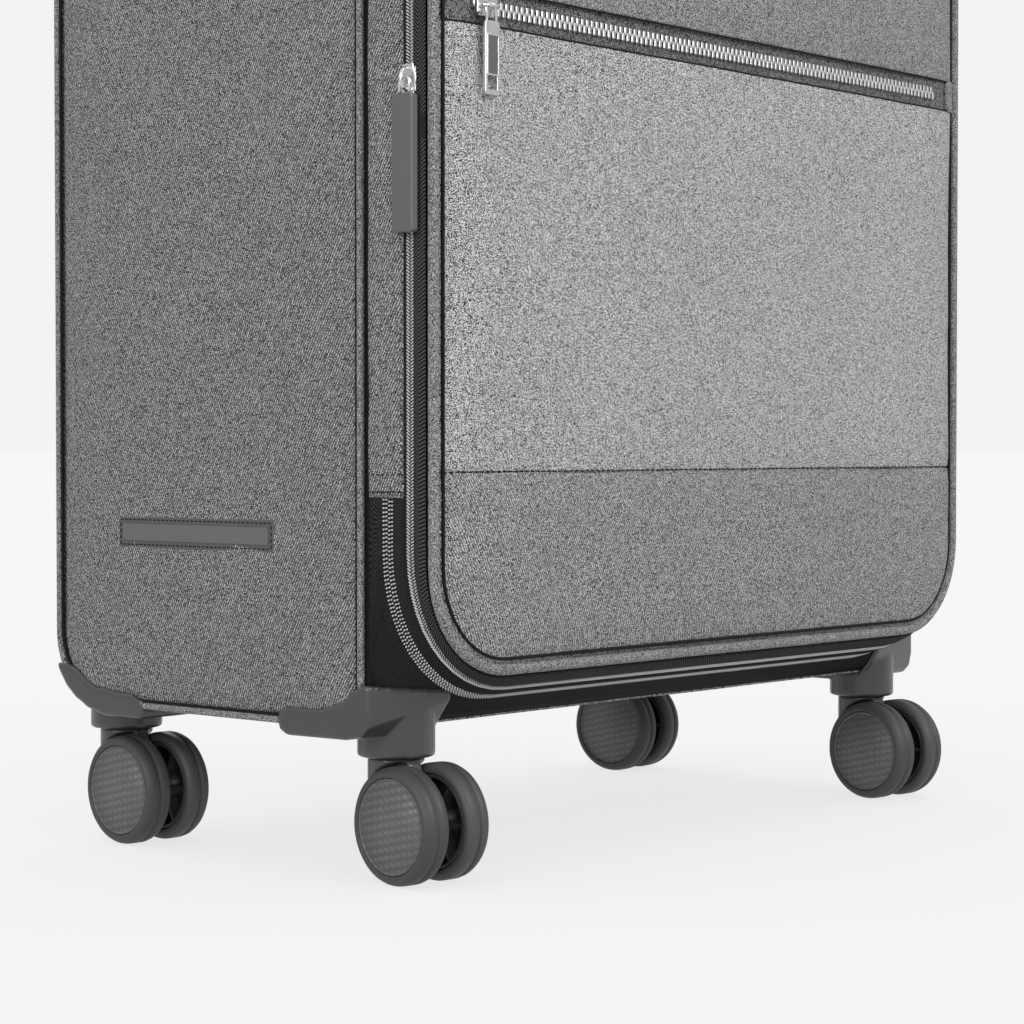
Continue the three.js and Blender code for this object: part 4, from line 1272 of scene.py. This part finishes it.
slope = math.atan2(2.0, 6.8)
for side, towards in (("left", -1), ("right", 1)):
    outward = (0, -math.sin(slope), math.cos(slope))
    low, high = node_box(f"main_{side}_slider")
    centre = (low + high) / 2 - np.array(outward) * 3.4
    slider_piece(f"main_{side}", f"main_{side}_slider", centre, outward, (-towards, 0, 0), 9.0,
                 f"main_{side}_slider")
    low, high = node_box(f"main_{side}_pull")
    middle = (low + high) / 2
    pivot = np.array([low[0] + 1.0 if towards > 0 else high[0] - 1.0, middle[1], middle[2]])
    rubber_pull(f"main_{side}", f"main_{side}_pull", pivot, outward, (towards, 0, 0), (40, 8.6, 2.6),
                f"main_{side}_pull")

# ---- badge: a blank leather-look strip with a bevelled, stitched border --------------------------

badge_low, badge_high = node_box("side_plaque")
badge_size = badge_high - badge_low
badge_middle = (badge_low + badge_high) / 2
badge_place = frame_matrix((-BAG["half"] - 2.9, badge_middle[1], badge_middle[2]), (0, -1, 0), (0, 0, 1))
base = plate("base", [ring_points(badge_size[1], badge_size[2], 1.2)], 2.2, 0.7, BADGE, badge_place)
raised = plate("raised", [ring_points(badge_size[1] - 6.5, badge_size[2] - 6.5, 0.8)], 1.0, 0.45, BADGE,
               badge_place @ Matrix.Translation((0, 0, 1.2)))
badge = united("side_badge", [base, raised], BODY, bevel=0.35)
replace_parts(badge, "side_plaque")
border = np.array(ring_points(badge_size[1] - 3.2, badge_size[2] - 3.2, 0.8, steps=3))
border = np.concatenate([border, border[:1]])
on_badge = np.stack([tuple(badge_place @ Vector((x, y, 1.1))) for x, y in border])
stitches("side_badge_stitches", on_badge, (-1, 0, 0), BODY, pitch=2.6)

# Stitching of the hinge strip's ends: two rows across each.
for end, direction in ((HINGE["low"], 1), (HINGE["high"], -1)):
    for row, offset in enumerate((2.2, 9.0)):
        depths = np.linspace(-81.4, -97.2, 12)
        x = -(BAG["half"] - np.interp(depths, STATIONS[:, 0], STATIONS[:, 1])
              + np.interp(depths, hinge_depths[::-1], bulge[::-1]) * 0.95)
        points = np.column_stack([x - 0.1, depths, np.full(12, end + direction * offset)])
        level = "low" if direction > 0 else "high"
        row_obj = stitches(f"hinge_stitches_{level}_{row}", points, (-1, 0, 0), None, pitch=2.6)
        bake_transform(row_obj)

# ---- wheel housings and forks: moulded forms with soft fillets -----------------------------------

def run_together(name, meshes, voxel, rounds, material, body, node, swell=0.0):
    """Solids melted into one moulding with fillets where they meet."""
    edit = bmesh.new()
    for mesh in meshes:
        edit.from_mesh(mesh)
    mesh = bpy.data.meshes.new(name)
    edit.to_mesh(mesh)
    edit.free()
    maker = bpy.data.objects.new(name, mesh)
    scene.collection.objects.link(maker)
    remesh = maker.modifiers.new("blend", "REMESH")
    remesh.mode = "VOXEL"
    remesh.voxel_size = voxel * MM
    if swell:
        fatten = maker.modifiers.new("fatten", "DISPLACE")
        fatten.strength = swell * MM
        fatten.mid_level = 0
    soften = maker.modifiers.new("soften", "SMOOTH")
    soften.factor = 0.5
    soften.iterations = rounds
    final = bpy.data.meshes.new_from_object(maker.evaluated_get(bpy.context.evaluated_depsgraph_get()))
    bpy.data.objects.remove(maker)
    final.materials.clear()
    final.materials.append(material)
    final.polygons.foreach_set("use_smooth", [True] * len(final.polygons))
    obj = bpy.data.objects.new(name, final)
    scene.collection.objects.link(obj)
    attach(obj, body)
    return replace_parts(obj, node)


LATHE_SIDES = 40


def lathe_mesh(profile, place):
    """A closed turned solid. profile is (radius, height) points from axis to axis."""
    turn = np.linspace(0, 2 * math.pi, LATHE_SIDES, endpoint=False)
    points = []
    for radius, height in profile:
        points += [place @ Vector((radius * math.cos(t), radius * math.sin(t), height)) for t in turn]
    mesh = bpy.data.meshes.new("lathe")
    faces = grid_faces(len(profile), LATHE_SIDES, wrap_columns=True).tolist()
    last = (len(profile) - 1) * LATHE_SIDES
    faces += [tuple(range(LATHE_SIDES))[::-1], tuple(range(last, last + LATHE_SIDES))]
    mesh.from_pydata(to_row([tuple(p) for p in points]).tolist(), [], faces)
    return mesh


CORNERS = ("front_left", "front_right", "rear_left", "rear_right")
COLLAR = ((14.6, 51.0), (15.3, 51.6), (15.3, 56.6), (14.2, 57.6), (14.0, 60.0))  # radius, height


for corner in CORNERS:
    swivel = next(j for j in frame["joints"] if j["name"] == f"swivel_{corner}")
    axis = to_case(swivel["pos_m"])
    collar = lathe_mesh(COLLAR, Matrix.Translation((axis[0], axis[1], 0)))
    housing = frame["nodes"][f"wheel_housing_{corner}"]
    run_together(f"housing_{corner}", [housing.data, collar], 0.75, 6, SATIN, BODY,
                 f"wheel_housing_{corner}", swell=0.5)
    fork = frame["nodes"][f"caster_fork_{corner}"]
    run_together(f"fork_{corner}", [fork.data], 0.8, 8, SATIN, f"caster_{corner}",
                 f"caster_fork_{corner}")
    axle = frame["nodes"][f"axle_{corner}"]
    axle.data.materials.clear()
    axle.data.materials.append(AXLE_STEEL)
    rounded(axle, 0.3)

# ---- wheels: tyre, hub with ribs, and a patterned cap --------------------------------------------

TYRE_PROFILE = [
    (19.6, 16.0), (19.9, 17.0), (20.6, 17.25), (21.9, 17.0), (23.0, 16.0), (23.7, 14.7),
    (23.95, 13.4), (24.0, 11.9), (23.3, 11.5), (23.3, 10.9), (24.0, 10.5), (24.0, 7.4),
    (23.7, 6.2), (22.9, 5.2), (21.6, 4.75), (20.2, 4.7), (19.8, 5.2), (19.6, 6.5),
]
HUB_PROFILE = [
    (19.55, 16.3), (19.5, 6.0), (19.0, 5.4), (18.2, 5.4), (17.9, 6.0), (17.7, 13.2), (6.4, 13.4), (6.2, 6.0),
    (5.6, 5.3), (2.9, 5.3), (2.75, 13.0),
]
CAP_PROFILE = [
    (19.6, 16.1), (19.45, 16.75), (18.9, 16.95), (18.55, 16.6), (18.4, 16.45), (18.2, 16.75), (0.001, 16.95),
]


def turned_piece(name, profile, place, material, body, segments, close=False, replaces=None):
    """A turned form about X, tagged with its points across the disc."""
    points, tags = [], []
    for radius, along in profile:
        for turn in np.linspace(0, 2 * math.pi, segments, endpoint=False):
            across, up = radius * math.cos(turn), radius * math.sin(turn)
            points.append(tuple(place @ Vector((along, across, up))))
            tags.append((across, up))
    faces = grid_faces(len(profile), segments, wrap_rows=close, wrap_columns=True)[:, ::-1]
    obj = piece(name, np.array(points), faces, material, body, tags=np.array(tags))
    if replaces:
        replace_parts(obj, replaces)
    return obj


for corner in CORNERS:
    for name, side in (("left", -1), ("right", 1)):
        wheel = f"wheel_{corner}_{name}"
        spin = next(j for j in frame["joints"] if j["name"] == f"spin_{corner}_{name}")
        axis = Vector(spin["axis"]).normalized() * side
        up = Vector((0, 0, 1))
        place = Matrix((axis, up.cross(axis) * side, up)).transposed().to_4x4()
        place.translation = Vector(to_case(spin["pos_m"]))
        turned_piece(f"{wheel}_tyre", TYRE_PROFILE, place, TYRE, wheel, 72, close=True)
        turned_piece(f"{wheel}_hub", HUB_PROFILE, place, WHEEL_PLASTIC, wheel, 48,
                     replaces=wheel)
        turned_piece(f"{wheel}_cap", CAP_PROFILE, place, CARBON, wheel, 64)
        ribs = []
        for k in range(6):
            turn = Matrix.Rotation(k * math.pi / 3, 4, "X")
            ribs.append(solid_box("rib", (7.2, 5.8, -0.7), (13.5, 17.9, 0.7), place @ turn, WHEEL_PLASTIC))
        united(f"{wheel}_ribs", ribs, wheel)

# ---- carry handles: padded straps that arch between their anchors --------------------------------

def carry_frame(name):
    """The matrix from a carry handle's own frame (along, across, up) to case millimetres."""
    low_a, high_a = node_box(f"{name}_carry_anchor_a")
    low_b, high_b = node_box(f"{name}_carry_anchor_b")
    centre = (np.minimum(low_a, low_b) + np.maximum(high_a, high_b)) / 2
    if name == "top":
        centre[2] = low_a[2]
        return frame_matrix(centre, (1, 0, 0), (0, 1, 0))
    centre[0] = low_a[0]
    return frame_matrix(centre, (0, 0, -1), (0, 1, 0))


CARRY = {"half": 67.0, "crown": 45.0, "gap": 12.4, "thick": 6.6, "width": 26.0}


def carry_strap(name):
    """One strap: foam-filled over the middle, thin webbing at its two ends."""
    place = carry_frame(name)
    length = np.linspace(-1, 1, 65)
    rise = np.clip((1 - np.abs(length)) * CARRY["half"] / (CARRY["half"] - CARRY["crown"] + 4), 0, 1)
    rise = rise * rise * (3 - 2 * rise)
    base = 2.2 + (CARRY["gap"] - 2.4) * rise
    thick = 3.0 + (CARRY["thick"] - 3.0) * rise
    width = CARRY["width"] * (1 - 0.05 * rise)
    turn = np.linspace(0, 2 * math.pi, 28, endpoint=False)
    round_y = np.sign(np.cos(turn)) * np.abs(np.cos(turn)) ** 0.55
    round_z = np.sign(np.sin(turn)) * np.abs(np.sin(turn)) ** 0.75
    rows = []
    for share, b, t, w in zip(length, base, thick, width):
        x = np.full(28, share * CARRY["half"])
        rows.append(np.column_stack([x, round_y * w / 2, b + t / 2 + round_z * t / 2]))
    local = np.concatenate(rows)
    points = np.array([tuple(place @ Vector(p)) for p in local])
    faces = grid_faces(65, 28, wrap_columns=True).tolist()
    faces += [tuple(range(28)), tuple(range(65 * 28 - 1, 64 * 28 - 1, -1))]
    strap = piece(f"{name}_carry_strap", points, faces, UPPER_CLOTH, None)
    rows = []
    for edge in (-1, 1):
        line = np.array([tuple(place @ Vector((s * CARRY["half"], edge * w * 0.40, b + t + 0.02)))
                         for s, b, t, w in zip(length[6:-6], base[6:-6], thick[6:-6], width[6:-6])])
        rows.append(line)
    out = tuple(place.to_3x3() @ Vector((0, 0, 1)))
    seams = [stitches("seam", row, out, None) for row in rows]
    stitching = united(f"{name}_carry_stitches", seams, None)
    for obj in (strap, stitching):
        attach(obj, f"{name}_carry_handle")
    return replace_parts(strap, f"{name}_carry_handle")


def carry_anchor(name, letter):
    """A moulded cap over a strap's end, with a low dome and a small flat plate on top."""
    node = f"{name}_carry_anchor_{letter}"
    low, high = node_box(node)
    place = carry_frame(name)
    centre = place.inverted() @ Vector((low + high) / 2)
    base = place @ Matrix.Translation((centre.x, 0, 2.4))
    upper = place @ Matrix.Translation((centre.x, 0, 5.9))
    inset = place @ Matrix.Translation((centre.x, 0, 7.8))
    parts = [
        plate("base", [ring_points(30, 31, 5)], 4.4, 0.8, SATIN, base),
        plate("dome", [ring_points(25, 26, 4.5)], 3.8, 1.6, SATIN, upper, segments=4),
        plate("inset", [ring_points(16, 17, 3)], 0.9, 0.3, SATIN, inset),
    ]
    obj = united(f"{node}_cap", parts, BODY, bevel=0.25)
    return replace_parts(obj, node)


for name in ("top", "side"):
    carry_strap(name)
    for letter in ("a", "b"):
        carry_anchor(name, letter)

# ---- telescopic handle: CAD shapes with rounded edges and real finishes --------------------------

def refinished(node, material, edge, segments=2):
    obj = frame["nodes"][node]
    obj.data.materials.clear()
    obj.data.materials.append(material)
    return rounded(obj, edge, segments)


for stage in ("outer", "middle", "inner"):
    for side in ("left", "right"):
        refinished(f"handle_tube_{stage}_{side}", ALUMINIUM, 0.25)
refinished("handle_base", WHEEL_PLASTIC, 0.8)
refinished("handle_tray", SATIN, 0.9, 3)
refinished("release_button", SATIN, 1.0, 3)
grip = frame["nodes"]["handle_grip"]
run_together("handle_grip_moulding", [grip.data], 0.9, 8, GRIP_RUBBER, "handle_top",
             "handle_grip")

# ---- inside: lined board, packing straps and the lid's lining ------------------------------------

board_low, board_high = node_box("inner_board")
board_shape = Panel(board_low[0] + 0.4, board_high[0] - 0.4, board_low[2] + 0.4, board_high[2] - 0.4,
                    (4.0,) * 4)
u, v = board_shape.grid(columns=40)
inside = board_shape.depth(u, v)
waves = waves_over(u, v, 60, 31)
ridges = 1.6 * np.exp(-((np.abs(u) - 85) / 12) ** 2)
y = board_low[1] - 0.2 - crown(inside, 1.2, 20) - ridges * np.clip(inside / 30, 0, 1) - 1.4 * waves
board = cloth_sheet("inner_board_lining", u, y, v, (0, -1, 0), LINING)
thicken(board, 2.4)
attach(board, BODY)
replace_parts(board, "inner_board")

lining_shape = Panel(-188.0, 188.0, 84.0, 509.0, (46.0,) * 4)
u, v = lining_shape.grid(columns=40)
inside = lining_shape.depth(u, v)
waves = waves_over(u, v, 55, 32)
y = -103.6 + crown(inside, 2.2, 25) + 1.2 * waves * np.clip(inside / 20, 0, 1)
lid_lining = cloth_sheet("lid_lining", u, y, v, (0, 1, 0), LINING)
thicken(lid_lining, 1.0)
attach(lid_lining, FRONT)


def belt(name, path, width, thick, material, body):
    """Flat webbing along a path of points, its width along X or Z as the path runs."""
    path = np.asarray(path, float)
    ahead = np.gradient(path, axis=0)
    ahead /= np.linalg.norm(ahead, axis=1)[:, None]
    out = np.array([0, -1.0, 0])
    cross = np.cross(ahead, out)
    cross /= np.linalg.norm(cross, axis=1)[:, None]
    shares = np.array([-0.5, -0.46, 0, 0.46, 0.5])
    depths = np.array([0.3, 0, 0, 0, 0.3])
    rows = path[:, None] + cross[:, None] * shares[None, :, None] * width + out * -depths[None, :, None]
    lengths = run_lengths(path)
    tags = np.stack(np.meshgrid(shares * width, lengths), -1)[..., ::-1].reshape(-1, 2)
    points = rows.reshape(-1, 3)
    faces = facing(points, grid_faces(len(path), 5), out)
    obj = piece(name, points, faces, material, None, tags=tags)
    thicken(obj, thick)
    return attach(obj, body)


STRAP = {"width": 20.0, "thick": 1.1}
BUCKLE = np.array([0.0, board_low[1] - 7.5, 300.0])
span = np.linspace(0, 1, 40)
for number, (x, z) in enumerate(((-150, 500), (150, 500), (-150, 92), (150, 92))):
    start = np.array([x, board_low[1] - 4.6, z])
    target = BUCKLE + np.array([math.copysign(14, x), 0, math.copysign(18, z - 300)])
    path = start + (target - start) * span[:, None]
    path[:, 1] = board_low[1] - 4.4 - 2.8 * np.sin(span * math.pi / 2) ** 2
    strap = belt(f"packing_strap_{number}", path, STRAP["width"], STRAP["thick"], WEBBING, BODY)
buckle_place = frame_matrix(BUCKLE + np.array([0, -1.2, 0]), (1, 0, 0), (0, 0, 1))
buckle_parts = [
    plate("body", [ring_points(46, 40, 8), ring_points(14, 5, 1.5, centre=(0, 14))[::-1],
                   ring_points(14, 5, 1.5, centre=(0, -14))[::-1]],
          5.0, 1.2, WHEEL_PLASTIC, buckle_place, segments=3),
    plate("press", [ring_points(20, 14, 4)], 2.4, 0.8, WHEEL_PLASTIC,
          buckle_place @ Matrix.Translation((0, 0, 2.6)), segments=3),
]
united("packing_buckle", buckle_parts, BODY, bevel=0.3)

# ---- floor, backdrop and light -------------------------------------------------------------------

PALE = 0.896  # how bright the backdrop looks, and the floor with it
SKY = {"up": 0.8, "level": 0.5, "down": 0.16}  # the light that reaches the case from each height
FLOOR_TONE = 0.25
FLOOR_GLOW = 0.55  # the light it throws up at the case
FLOOR_REACH = 60.0

world = bpy.data.worlds.new("studio")
world.use_nodes = True
world_nodes, world_links = world.node_tree.nodes, world.node_tree.links
height = world_nodes.new("ShaderNodeSeparateXYZ")
world_links.new(world_nodes.new("ShaderNodeTexCoord").outputs["Generated"], height.inputs[0])
sky = world_nodes.new("ShaderNodeMapRange")
sky.inputs["From Min"].default_value = -0.4
sky.inputs["From Max"].default_value = 0.7
world_links.new(height.outputs["Z"], sky.inputs["Value"])
shade = world_nodes.new("ShaderNodeValToRGB")
shade.color_ramp.elements.new(0.5)
for element, (at, value) in zip(shade.color_ramp.elements, ((0.0, "down"), (0.4, "level"), (1.0, "up"))):
    element.position = at
    element.color = (*grey(SKY[value]), 1)
world_links.new(sky.outputs[0], shade.inputs[0])
seen = world_nodes.new("ShaderNodeMix")
seen.data_type = "RGBA"
seen.inputs[7].default_value = (*grey(PALE), 1)
world_links.new(world_nodes.new("ShaderNodeLightPath").outputs["Is Camera Ray"], seen.inputs[0])
world_links.new(shade.outputs[0], seen.inputs[6])
world_links.new(seen.outputs[2], world_nodes["Background"].inputs["Color"])
scene.world = world
scene.view_settings.view_transform = "Standard"

# The floor is a lit sweep: it looks as bright as the backdrop, and throws little light upwards.
floor_look = Look("floor", roughness=0.8, Specular_IOR_Level=0.0, Emission_Color=(1, 1, 1, 1))
floor_look.set("Base Color", grey(FLOOR_TONE))
glow = floor_look.made("ShaderNodeLightPath", output="Is Camera Ray")
floor_look.set("Emission Strength", floor_look.mix(glow, FLOOR_GLOW, PALE - FLOOR_TONE * 0.62))
floor_mesh = bpy.data.meshes.new("floor")
corners = [(x * FLOOR_REACH, y * FLOOR_REACH, 0) for x, y in ((-1, -1), (1, -1), (1, 1), (-1, 1))]
floor_mesh.from_pydata(corners, [], [(0, 1, 2, 3)])
floor_mesh.materials.append(floor_look.material)
floor = bpy.data.objects.new("floor", floor_mesh)
scene.collection.objects.link(floor)
# The lamps light the case only, so the floor stays as even as a studio sweep.
sweep = bpy.data.collections.new("sweep")
sweep.objects.link(floor)
sweep.collection_objects[0].light_linking.link_state = "EXCLUDE"


def softbox(name, place, target, size, power):
    light = bpy.data.lights.new(name, "AREA")
    light.shape = "RECTANGLE"
    light.size, light.size_y = size
    light.energy = power
    obj = bpy.data.objects.new(name, light)
    obj.location = place
    obj.rotation_euler = (Vector(target) - Vector(place)).to_track_quat("-Z", "Y").to_euler()
    obj.light_linking.receiver_collection = sweep
    scene.collection.objects.link(obj)


softbox("key", (0.3, -2.2, 1.7), (0, 0, 0.25), (1.0, 1.0), 33)
softbox("left", (-2.3, -0.3, 0.9), (0, 0, 0.2), (0.9, 0.9), 20)
softbox("back", (1.4, 2.0, 1.5), (0, 0, 0.25), (1.2, 1.2), 16)
softbox("near", (-1.3, -1.4, 0.8), (0, 0, 0.2), (0.4, 0.4), 5)
